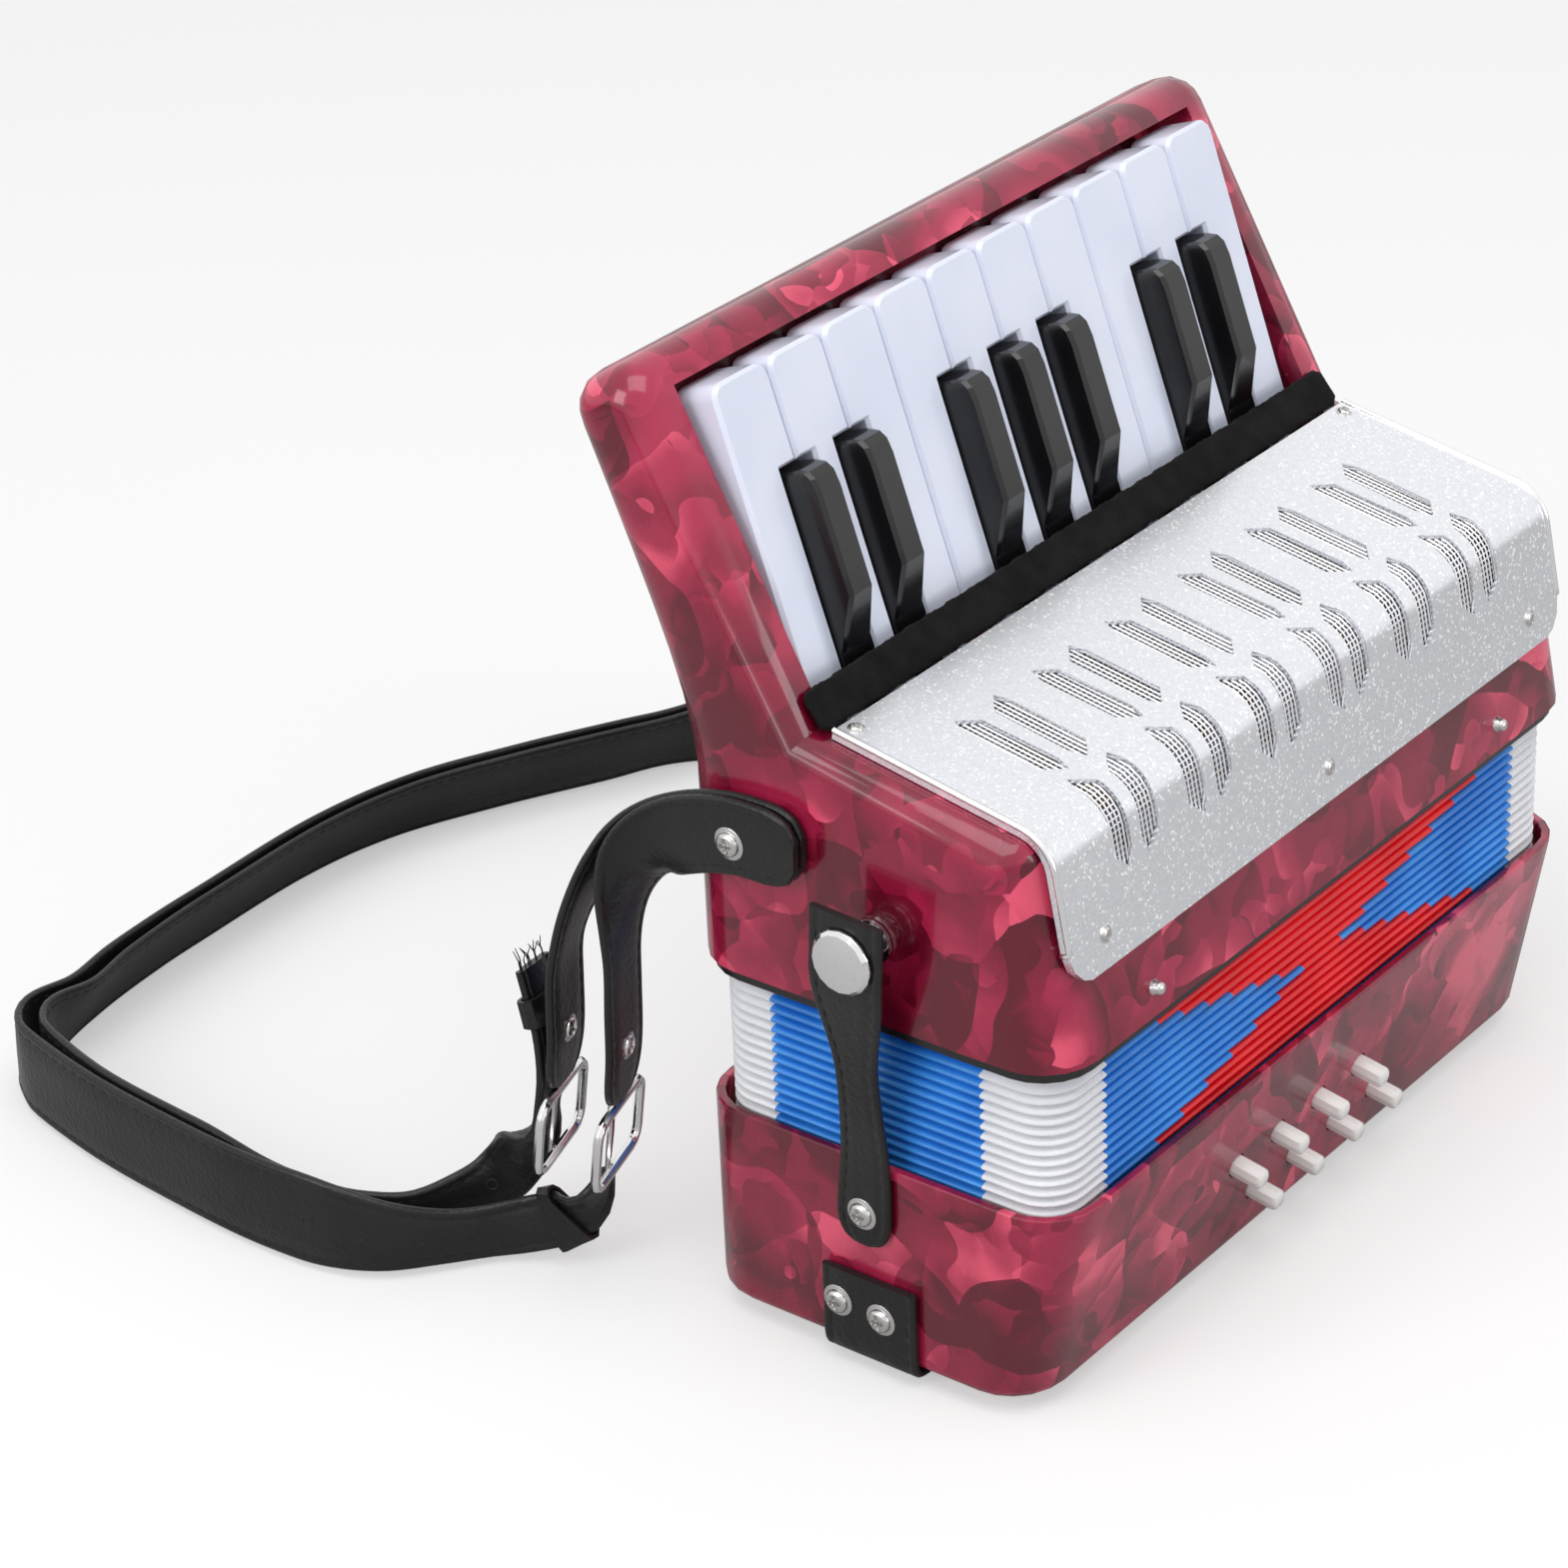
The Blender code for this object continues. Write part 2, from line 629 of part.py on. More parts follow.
def grille_path(offset):
    """Walk over the treble body from the grille's back edge to its lower edge.

    Gives (y, z) points that lie an offset above the case.
    """
    low = TREBLE_Z + GRILLE_LOW
    front_low = np.array([treble_front(low), low])
    slope = np.array([math.cos(BODY_SLOPE), math.sin(BODY_SLOPE)])
    back = KINK - slope * GRILLE_BACK
    bend = fillet(front_low, front_corner(0.0, 0.0), back, BODY_BEND_R, 5)[::-1]
    corner_walk = []
    for height in (1.0, 0.5, 0.14, 0.0):
        z = low + GRILLE_CORNER_R * height
        corner_walk.append(np.array([treble_front(z), z]))
    base = [back] + bend + corner_walk
    path = []
    for i, point in enumerate(base):
        before = base[max(i - 1, 0)]
        after = base[min(i + 1, len(base) - 1)]
        along = (after - before) / np.linalg.norm(after - before)
        normal = np.array([along[1], -along[0]])
        path.append(point + normal * offset)
    return path


def grille_half_widths(inset):
    """Half width at each point of the grille's path, rounded at the lower corners."""
    count = len(grille_path(0.0))
    widths = [GRILLE_HALF - inset] * count
    for k, height in enumerate((1.0, 0.5, 0.14, 0.0)):
        share = 1.0 - height
        widths[count - 4 + k] -= GRILLE_CORNER_R * (1.0 - math.sqrt(1.0 - 0.96 * share ** 2))
    return widths


def slot_center(middle, side, share):
    """Place across the grille of a slot's centre, from its back tip (0) to its front tip (1)."""
    drift = SLOT_SLANT * (1.0 - 2.0 * share)
    if share in (0.0, 1.0):
        drift = SLOT_TIP_SHIFT * (1.0 - 2.0 * share)
    return middle + side * (SLOT_SPREAD + drift)


def grille_slots():
    """Cutters of the slots: a row on the flat top and a row over the bend."""
    slope = np.array([-math.cos(BODY_SLOPE), -math.sin(BODY_SLOPE)])
    rise = np.array([-slope[1], slope[0]]) * -1.0
    back = KINK + slope * SLOT_BACK
    shapes = []
    point = 0.0042
    for pair in range(SLOT_PAIRS):
        middle = SLOT_MIDDLE + (pair - (SLOT_PAIRS - 1) / 2) * SLOT_PAIR_PITCH
        for side in (-1.0, 1.0):
            ends = []
            for share, width in ((0.0, 0.0), (point, 1.0), (SLOT_L - point, 1.0), (SLOT_L, 0.0)):
                center = slot_center(middle, side, share / SLOT_L)
                ends.append((share, center, width * SLOT_W / 2))
            outline = [(ends[0][1], ends[0][0])]
            outline += [(c - w, s) for s, c, w in ends[1:3]]
            outline += [(ends[3][1], ends[3][0])]
            outline += [(c + w, s) for s, c, w in ends[2:0:-1]]
            rings = []
            for height in (-0.004, 0.008):
                ring = []
                for x, s in outline:
                    place = back + slope * s + rise * height
                    ring.append((x, place[0], place[1]))
                rings.append(ring)
            shapes.append(loft(rings))
            shapes.append(bend_slot(middle, side, point))
    return shapes


def bend_slot(middle, side, point):
    """One slot that runs from the top, round the bend and on to the front."""
    path_low = grille_walk(-0.004)
    path_high = grille_walk(GRILLE_RISE + 0.004)
    start = SLOT_BACK + SLOT_L + BEND_SLOT_START - GRILLE_BACK
    shares = [0.0, point] + list(np.linspace(point, BEND_SLOT_L - point, 6)[1:-1])
    shares += [BEND_SLOT_L - point, BEND_SLOT_L]
    rings = []
    for share in shares:
        width = 0.0006 if share in (0.0, BEND_SLOT_L) else SLOT_W
        center = slot_center(middle, side, share / BEND_SLOT_L)
        low = path_low(start + share)
        high = path_high(start + share)
        rings.append([(center - width / 2, *low), (center + width / 2, *low),
                      (center + width / 2, *high), (center - width / 2, *high)])
    return loft(rings)


def grille_walk(offset):
    """Function from a length along the case's surface to a point an offset above it."""
    base = np.array(grille_path(0.0))
    moved = np.array(grille_path(offset))
    length = np.concatenate([[0.0], np.cumsum(np.linalg.norm(np.diff(base, axis=0), axis=1))])

    def place(along):
        return (float(np.interp(along, length, moved[:, 0])), float(np.interp(along, length, moved[:, 1])))

    return place


def treble_grille():
    low = grille_path(GAP)
    under = grille_path(GRILLE_RISE - GRILLE_T)
    high = grille_path(GRILLE_RISE)
    outer = grille_half_widths(0.0)
    inner = grille_half_widths(GRILLE_T)
    rings = []
    for i in range(len(low)):
        a, b = outer[i], inner[i]
        rings.append([(-a, *low[i]), (-a, *high[i]), (a, *high[i]), (a, *low[i]),
                      (b, *low[i]), (b, *under[i]), (-b, *under[i]), (-b, *low[i])])
    grille = add_object("treble_grille", loft(rings), "silver")
    combine(grille, merge_shapes(grille_slots()))
    return smooth(grille)


def grille_mesh():
    low = grille_path(GRILLE_RISE - GRILLE_T - GAP - MESH_T)
    high = grille_path(GRILLE_RISE - GRILLE_T - GAP)
    widths = grille_half_widths(GRILLE_T + GAP)
    rings = []
    for i in range(len(low) - 1):
        a = widths[i]
        rings.append([(-a, *low[i]), (-a, *high[i]), (a, *high[i]), (a, *low[i])])
    return smooth(add_object("grille_mesh", loft(rings), "mesh"))


def key_strip():
    slope = np.array([math.cos(BODY_SLOPE), math.sin(BODY_SLOPE)])
    rise = np.array([-slope[1], slope[0]])
    low = KINK - slope * (GRILLE_BACK - STRIP_T - GAP) + rise * GAP
    high = keyboard_yz(STRIP_REACH, GAP)
    along = (high - low) / np.linalg.norm(high - low)
    out = np.array([-along[1], along[0]])
    edge = STRIP_T * 0.4
    outline = [low, high, high + out * (STRIP_T - edge), high + out * STRIP_T - along * edge,
               low + out * STRIP_T + along * edge, low + out * (STRIP_T - edge)]
    half = RECESS_HALF + STRIP_OVERHANG
    return add_object("key_strip", prism_x(outline, -half, half), "black_felt")


def key_axle():
    end = HALF_W - CASE_WALL / 2 - GAP
    shape = turned([(AXLE_R, 0.0), (AXLE_R, 2 * end)], (-end, PIVOT[0], PIVOT[1]), (1, 0, 0), 12)
    return smooth(add_object("key_axle", shape, "steel"))


def key_rest_felt():
    """Thick felt whose top lies just under the pressed keys."""
    far = RECESS_END - 0.006
    near = far - FELT_W
    tops = [pressed(keys_yz(along, key_under(along))) - KINK for along in (KEY_LENGTH / 2, KEY_LENGTH)]
    alongs = [float(top @ LEAN_UP) for top in tops]
    outs = [float(top @ LEAN_OUT) - GAP for top in tops]
    rise = (outs[1] - outs[0]) / (alongs[1] - alongs[0])
    floor = -RECESS_DEPTH + GAP
    outline = [keyboard_yz(near, floor), keyboard_yz(far, floor),
               keyboard_yz(far, outs[0] + rise * (far - alongs[0])),
               keyboard_yz(near, outs[0] + rise * (near - alongs[0]))]
    half = RECESS_HALF - GAP
    return add_object("key_rest_felt", prism_x(outline, -half, half), "black_felt")


def lever_shapes(x, pallet_y, pallet_w):
    """Lever from the key's root over the axle to the pallet, and the pallet."""
    pad_top = TREBLE_BOARD_TOP + GAP + PALLET_T
    root = keys_yz(KEY_ROOT + 0.004, -KEY_SINK - KEY_THICK * 0.55)
    knee = np.array([pallet_y, pad_top + 0.0055])
    foot = np.array([pallet_y, pad_top - 0.001])
    bar = prism_x(thick_path([root, PIVOT, knee, foot], LEVER_T), x - LEVER_W / 2, x + LEVER_W / 2)
    low = pad_top - PALLET_T
    rings = []
    for z, inset in ((low, 0.0), (pad_top - 0.0012, 0.0), (pad_top, 0.0012)):
        wide = pallet_w / 2 - inset
        deep = PALLET_L / 2 - inset
        rings.append([(x - wide, pallet_y - deep, z), (x + wide, pallet_y - deep, z),
                      (x + wide, pallet_y + deep, z), (x - wide, pallet_y + deep, z)])
    return bar, loft(rings)


def keyboard_shape(rings):
    """Rings of (x, along, out) points placed in the leaning keyboard."""
    placed = []
    for ring in rings:
        placed.append([(x, *keys_yz(along, out)) for x, along, out in ring])
    return loft(placed)


def finish_key(key, x, pallet_y, pallet_w):
    bar, pallet = lever_shapes(x, pallet_y, pallet_w)
    combine(key, bar, "UNION")
    combine(key, pallet, "UNION")
    hole = AXLE_R + RUN_GAP
    combine(key, turned([(hole, 0.0), (hole, LEVER_W * 2)], (x - LEVER_W, PIVOT[0], PIVOT[1]), (1, 0, 0), 10))
    return smooth(key, 30.0)


def white_key(number):
    """Plate with notches beside its black keys, rounded at the outer end."""
    left = -KEY_HALF + (number - 1) * KEY_PITCH + KEY_GAP / 2
    right = left + KEY_PITCH - KEY_GAP
    notch = BLACK_W / 2 + KEY_GAP / 2
    notch_end = BLACK_TIP + 0.0016
    outline = []
    root_left = left + (notch if number - 1 in BLACK_AFTER else 0.0)
    root_right = right - (notch if number in BLACK_AFTER else 0.0)
    outline.append((root_left, KEY_ROOT))
    outline.append((root_right, KEY_ROOT))
    if number in BLACK_AFTER:
        outline += [(root_right, notch_end), (right, notch_end)]
    outline += arc((right - KEY_END_R, KEY_LENGTH - KEY_END_R), KEY_END_R, 0.0, math.pi / 2, 3)
    outline += arc((left + KEY_END_R, KEY_LENGTH - KEY_END_R), KEY_END_R, math.pi / 2, math.pi, 3)
    if number - 1 in BLACK_AFTER:
        outline += [(left, notch_end), (root_left, notch_end)]
    rings = [[(x, along, key_under(along)) for x, along in outline]]
    for out, inset in ((-KEY_SINK - 0.0010, 0.0), (-KEY_SINK, 0.0008)):
        drawn = offset_outline(outline, inset)
        rings.append([(x, along, out) for x, along in drawn])
    center = (left + right) / 2
    key = add_object(f"white_key_{number:02d}", keyboard_shape(rings), "ivory", (center, PIVOT[0], PIVOT[1]))
    return finish_key(key, center, WHITE_PALLET_Y, WHITE_PALLET_W)


def black_key(number, after):
    """Tapered key, sloping down to its root and rounded at its tip."""
    center = -KEY_HALF + after * KEY_PITCH
    low = -KEY_SINK - KEY_THICK
    root = -KEY_SINK + 0.0006
    crest = -KEY_SINK + BLACK_RISE
    stations = [(KEY_ROOT, root, 1.0), (STRIP_REACH + 0.0010, root, 1.0), (BLACK_SLOPE_END, crest, 1.0),
                (BLACK_TIP - 0.0060, crest, 1.0), (BLACK_TIP - 0.0024, crest - 0.0006, 0.99),
                (BLACK_TIP - 0.0006, crest - 0.0020, 0.92), (BLACK_TIP, crest - 0.0045, 0.80)]
    rings = []
    for along, top, share in stations:
        wide = BLACK_W / 2 * share
        rise = (top - root) / (crest - root)
        slim = wide - (BLACK_W - BLACK_TOP_W) / 2 * max(rise, 0.08)
        round_off = min(0.0010, (top - low) * 0.1)
        rings.append([(center - wide, along, low), (center + wide, along, low),
                      (center + wide, along, min(root, top) - 0.0005), (center + slim, along, top - round_off),
                      (center + slim * 0.8, along, top), (center - slim * 0.8, along, top),
                      (center - slim, along, top - round_off), (center - wide, along, min(root, top) - 0.0005)])
    key = add_object(f"black_key_{number:02d}", keyboard_shape(rings), "ebony", (center, PIVOT[0], PIVOT[1]))
    return finish_key(key, center, BLACK_PALLET_Y, BLACK_PALLET_W)


def tone_hole_places():
    places = []
    for number in range(WHITE_COUNT):
        places.append((-KEY_HALF + (number + 0.5) * KEY_PITCH, WHITE_PALLET_Y))
    for after in BLACK_AFTER:
        places.append((-KEY_HALF + after * KEY_PITCH, BLACK_PALLET_Y))
    return places


def treble_soundboard():
    rings = [lift(treble_outline(z, CASE_WALL + GAP), z) for z in (TREBLE_BOARD_LOW, TREBLE_BOARD_TOP)]
    board = add_object("treble_soundboard", loft(rings), "wood")
    holes = []
    for x, y in tone_hole_places():
        holes.append(box(x - TONE_HOLE_W / 2, x + TONE_HOLE_W / 2, y - TONE_HOLE_L / 2, y + TONE_HOLE_L / 2,
                         TREBLE_BOARD_LOW - 0.002, TREBLE_BOARD_TOP + 0.002))
    return combine(board, merge_shapes(holes))


def reed_block(name, y, z_wide, z_narrow, holes, reach):
    """Tapered block with a chamber under each tone hole, open on its wide side."""
    half_w = REED_BLOCK_W / 2
    half_l = HALF_W - CASE_WALL - BLOCK_END
    slim = half_w - BLOCK_TAPER / 2
    rings = []
    for z, wide in ((z_wide, half_w), (z_narrow, slim)):
        rings.append([(-half_l, y - wide, z), (half_l, y - wide, z), (half_l, y + wide, z), (-half_l, y + wide, z)])
    block = add_object(name, loft(rings), "wood")
    chambers = []
    beyond = z_wide + (0.002 if z_wide > z_narrow else -0.002)
    for x in holes:
        chambers.append(box(x - TONE_HOLE_W / 2, x + TONE_HOLE_W / 2, y - TONE_HOLE_W / 2, y + TONE_HOLE_W / 2,
                            min(beyond, reach), max(beyond, reach)))
    return combine(block, merge_shapes(chambers))


def treble_reed_blocks():
    wide = TREBLE_BOARD_LOW - GAP
    narrow = wide - REED_BLOCK_DROP
    whites = [x for x, y in tone_hole_places() if y == WHITE_PALLET_Y]
    blacks = [x for x, y in tone_hole_places() if y == BLACK_PALLET_Y]
    reed_block("treble_reed_block_front", WHITE_PALLET_Y, wide, narrow, whites, narrow + 0.004)
    reed_block("treble_reed_block_back", BLACK_PALLET_Y, wide, narrow, blacks, narrow + 0.004)


def bellows_frame_treble():
    spigot_top = TREBLE_Z + SPIGOT_H
    flange_top = FLANGE_Z + FLANGE_H
    flange = case_outline(FLANGE_INSET)
    inner = case_outline(BELLOWS_INSET + FRAME_W)
    rings = [lift(flange, FLANGE_Z), lift(flange, flange_top)]
    rings += [lift(treble_outline(z, CASE_WALL + GAP), z) for z in (flange_top, spigot_top)]
    rings += [lift(inner, spigot_top), lift(inner, FLANGE_Z)]
    return smooth(add_object("bellows_frame_treble", loft(rings, closed=True), "black_plastic"))


def bellows_frame_bass():
    outer = case_outline(BELLOWS_INSET + BASS_FRONT_LEAN * (RIM_Z - BASS_BOARD_TOP) / BASS_H)
    inner = case_outline(BELLOWS_INSET + FRAME_W)
    shape = ring_frame(outer, inner, BASS_BOARD_TOP + GAP, BASS_FRAME_TOP)
    return smooth(add_object("bellows_frame_bass", shape, "wood"))


def bellows():
    """Folded cloth wall, the same zigzag outside and inside."""
    walk = []
    for fold in range(2 * FOLDS + 1):
        inset = FOLD_DEPTH if fold % 2 == 0 else 0.0
        walk.append((BELLOWS_Z0 + fold * FOLD_PITCH / 2, BELLOWS_INSET + inset))
    rings = [lift(case_outline(inset, 3), z) for z, inset in walk]
    rings += [lift(case_outline(inset + FOLD_CLOTH, 3), z) for z, inset in walk[::-1]]
    return smooth(add_object("bellows", loft(rings, closed=True), "blue_cloth"), 20.0)


def bass_case():
    bottom = FOOT_H
    rings = []
    for step in range(4):
        angle = step / 3 * math.pi / 2
        z = bottom + BASS_EDGE_R * (1.0 - math.cos(angle))
        rings.append(lift(bass_outline(z, BASS_EDGE_R * (1.0 - math.sin(angle))), z))
    rings.append(lift(bass_outline(RIM_Z - 0.0004, 0.0), RIM_Z - 0.0004))
    rings.append(lift(bass_outline(RIM_Z, 0.0004), RIM_Z))
    rings.append(lift(bass_outline(RIM_Z, CASE_WALL), RIM_Z))
    floor = bottom + BASS_FLOOR
    rings.append(lift(bass_outline(floor, CASE_WALL), floor))
    case = add_object("bass_case", loft(rings), "pearl_red")
    holes = []
    for place in button_places():
        hole = BUTTON_R + RUN_GAP
        holes.append(turned([(hole, -0.006), (hole, 0.006)], place, BUTTON_OUTWARD, 10))
    combine(case, merge_shapes(holes))
    return smooth(case)


def button_places():
    """Where each button's axis meets the outside of the bass front wall."""
    places = []
    for row, height in enumerate(BUTTON_ROW_Z):
        z = FOOT_H + height
        for col in range(BUTTON_COLS):
            x = BUTTON_X0 + col * BUTTON_PITCH + row * BUTTON_ROW_STEP
            places.append((x, bass_front(z), z))
    return places


def bass_buttons():
    for number, place in enumerate(button_places(), start=1):
        behind = (guide_front() + GUIDE_T - place[1]) / math.cos(BUTTON_TILT)
        clip = behind + BUTTON_CLIP_R * math.tan(BUTTON_TILT) + GAP
        profile = [(BUTTON_STEM_R, -clip - 0.0016), (BUTTON_CLIP_R, -clip - 0.0012),
                   (BUTTON_CLIP_R, -clip), (BUTTON_STEM_R, -clip),
                   (BUTTON_STEM_R, -BUTTON_IN), (BUTTON_R, -BUTTON_IN),
                   (BUTTON_R, BUTTON_OUT - 0.0012), (BUTTON_R - 0.0004, BUTTON_OUT - 0.0004),
                   (BUTTON_R - 0.0013, BUTTON_OUT)]
        shape = turned(profile, place, BUTTON_OUTWARD, 10)
        smooth(add_object(f"bass_button_{number}", shape, "white_plastic", place))


def guide_front():
    return bass_front(FOOT_H + max(BUTTON_ROW_Z)) + GUIDE_IN


def bass_button_guide():
    front = guide_front()
    floor = FOOT_H + BASS_FLOOR + GAP
    top = BASS_BOARD_LOW - GAP
    left = BUTTON_X0 - GUIDE_MARGIN
    right = BUTTON_X0 + (BUTTON_COLS - 1) * BUTTON_PITCH + BUTTON_ROW_STEP + GUIDE_MARGIN
    guide = add_object("bass_button_guide", box(left, right, front, front + GUIDE_T, floor, top), "wood")
    holes = []
    for place in button_places():
        hole = BUTTON_STEM_R + RUN_GAP
        holes.append(turned([(hole, -GUIDE_IN - 0.010), (hole, -GUIDE_IN + 0.008)], place, BUTTON_OUTWARD, 8))
    return combine(guide, merge_shapes(holes))


def bass_tone_holes():
    half = HALF_W - CASE_WALL - BLOCK_END
    return [half * (k - 3.5) / 4.2 for k in range(8)]


def bass_soundboard():
    rings = [lift(bass_outline(z, CASE_WALL + GAP), z) for z in (BASS_BOARD_LOW, BASS_BOARD_TOP)]
    board = add_object("bass_soundboard", loft(rings), "wood")
    holes = []
    for x in bass_tone_holes():
        holes.append(box(x - TONE_HOLE_W / 2, x + TONE_HOLE_W / 2, -TONE_HOLE_W / 2, TONE_HOLE_W / 2,
                         BASS_BOARD_LOW - 0.002, BASS_BOARD_TOP + 0.002))
    return combine(board, merge_shapes(holes))


def bass_reed_block():
    wide = BASS_BOARD_TOP + GAP
    narrow = wide + BASS_BLOCK_H
    return reed_block("bass_reed_block", 0.0, wide, narrow, bass_tone_holes(), narrow - 0.004)


def feet():
    front = bass_front(FOOT_H)
    for name, x, y in (("foot_front_left", -1, front + FOOT_INSET), ("foot_front_right", 1, front + FOOT_INSET),
                       ("foot_back_left", -1, HALF_D - FOOT_INSET), ("foot_back_right", 1, HALF_D - FOOT_INSET)):
        place = (x * (HALF_W - FOOT_INSET), y, 0.0)
        profile = [(FOOT_R * 0.82, 0.0), (FOOT_R * 0.90, 0.0004), (FOOT_R, FOOT_H - GAP)]
        smooth(add_object(name, turned(profile, place, (0, 0, 1), 14), "rubber"))


def hand_strap():
    """Band screwed to both end walls and led under the bass case."""
    wall = HALF_W + GAP
    under = FOOT_H - GAP
    bend = BASS_EDGE_R + GAP
    y0 = HAND_STRAP_Y - HAND_STRAP_W / 2
    y1 = HAND_STRAP_Y + HAND_STRAP_W / 2
    outlines = []
    for grow in (0.0, LEATHER_T):
        corner = arc((-wall + bend, under + bend), bend + grow, math.pi, 1.5 * math.pi, 4)
        left = [np.array([-wall - grow, HAND_STRAP_TOP])] + corner
        outlines.append(left + [np.array([-p[0], p[1]]) for p in left[::-1]])
    inner, outer = outlines
    rings = []
    for i in range(len(inner)):
        rings.append([(inner[i][0], y0, inner[i][1]), (inner[i][0], y1, inner[i][1]),
                      (outer[i][0], y1, outer[i][1]), (outer[i][0], y0, outer[i][1])])
    return smooth(add_object("hand_strap", loft(rings), "leather"))


def bellows_strap_y(z):
    """Middle of the bellows strap, which slants a little towards its snap."""
    return BELLOWS_STRAP_Y + (SNAP_Y - BELLOWS_STRAP_Y) * (z - BELLOWS_STRAP_SCREW) / (SNAP_Z - BELLOWS_STRAP_SCREW)


def bellows_strap(side, label):
    """Waisted strap from its screw on the bass case up to the snap."""
    near = HALF_W + GAP + LEATHER_T / 2
    far = HALF_W + GAP + STUD_H + GAP + SOCKET_H + GAP + LEATHER_T / 2
    snap_low = SNAP_Z - CAP_R - 0.001
    walk = [(near, BELLOWS_STRAP_LOW), (near, BELLOWS_STRAP_SCREW), (near + 0.0004, RIM_Z + 0.004),
            ((near + far) / 2, (RIM_Z + snap_low) / 2 + 0.004), (far - 0.0003, snap_low),
            (far, SNAP_Z), (far, BELLOWS_STRAP_TOP)]
    even, length = smooth_route([(x, 0.0, z) for x, z in walk], 22)
    tangents = np.gradient(even, axis=0)
    low_w, waist_w, top_w = BELLOWS_STRAP_W
    rings = []
    for i, place in enumerate(even):
        along = length * i / (len(even) - 1)
        share = along / length
        if share < 0.5:
            blend = 0.5 - 0.5 * math.cos(2 * math.pi * share)
            half = (low_w + (waist_w - low_w) * blend) / 2
        else:
            blend = min((share - 0.5) / 0.34, 1.0)
            half = (waist_w + (top_w - waist_w) * (0.5 - 0.5 * math.cos(math.pi * blend))) / 2
        if along < low_w / 2:
            rest = 1.0 - along / (low_w / 2)
            half *= 0.35 + 0.65 * math.sqrt(1.0 - rest ** 2)
        tangent = tangents[i] / np.linalg.norm(tangents[i])
        out = np.array([tangent[2], 0.0, -tangent[0]])
        ring = []
        for u, v in ((-1, -1), (1, -1), (1, 1), (-1, 1)):
            point = place + out * v * LEATHER_T / 2
            ring.append((side * point[0], bellows_strap_y(point[2]) + u * half, point[2]))
        rings.append(ring)
    pivot = (side * near, BELLOWS_STRAP_Y, BELLOWS_STRAP_SCREW)
    strap = add_object(f"bellows_strap_{label}", loft(rings), "leather", pivot)
    hole = RIVET_R + GAP
    outward = (side, 0.0, 0.0)
    place = (side * (far - LEATHER_T), SNAP_Y, SNAP_Z)
    combine(strap, turned([(hole, 0.0), (hole, 2 * LEATHER_T)], place, outward, 12))
    smooth(strap)
    base = (side * (HALF_W + GAP), SNAP_Y, SNAP_Z)
    stud = [(STUD_R, 0.0), (STUD_R, 0.0010), (STUD_POST_R - 0.0004, 0.0018),
            (STUD_POST_R, STUD_H - 0.0008), (STUD_POST_R - 0.0006, STUD_H)]
    smooth(add_object(f"snap_stud_{label}", turned(stud, base, outward, 12), "steel"))
    start = STUD_H + GAP
    through = start + SOCKET_H
    cap_low = through + LEATHER_T + 2 * GAP
    cap = [(SOCKET_R, start), (SOCKET_R, through - 0.0012), (SOCKET_R + 0.0012, through), (RIVET_R, through),
           (RIVET_R, cap_low), (CAP_R, cap_low), (CAP_R, cap_low + 0.0006), (CAP_R * 0.88, cap_low + CAP_H * 0.7),
           (CAP_R * 0.45, cap_low + CAP_H)]
    smooth(add_object(f"snap_cap_{label}", turned(cap, base, outward, 16), "chrome", pivot))


def beside(route, near, away, start, end):
    """Route of a second strap that lies against the first and then spreads away from it."""
    even, _ = smooth_route(route, TAB_STEPS)
    tangents = np.gradient(even[:, :3], axis=0)
    rows = []
    for i, row in enumerate(even):
        tangent = tangents[i] / np.linalg.norm(tangents[i])
        across = row[3:6] - tangent * (row[3:6] @ tangent)
        across = across / np.linalg.norm(across)
        share = float(np.clip((i / (TAB_STEPS - 1) - start) / (end - start), 0.0, 1.0))
        reach = near + (away - near) * share * share * (3.0 - 2.0 * share)
        place = row[:3] - np.cross(tangent, across) * reach
        rows.append((*place, *across))
    return rows


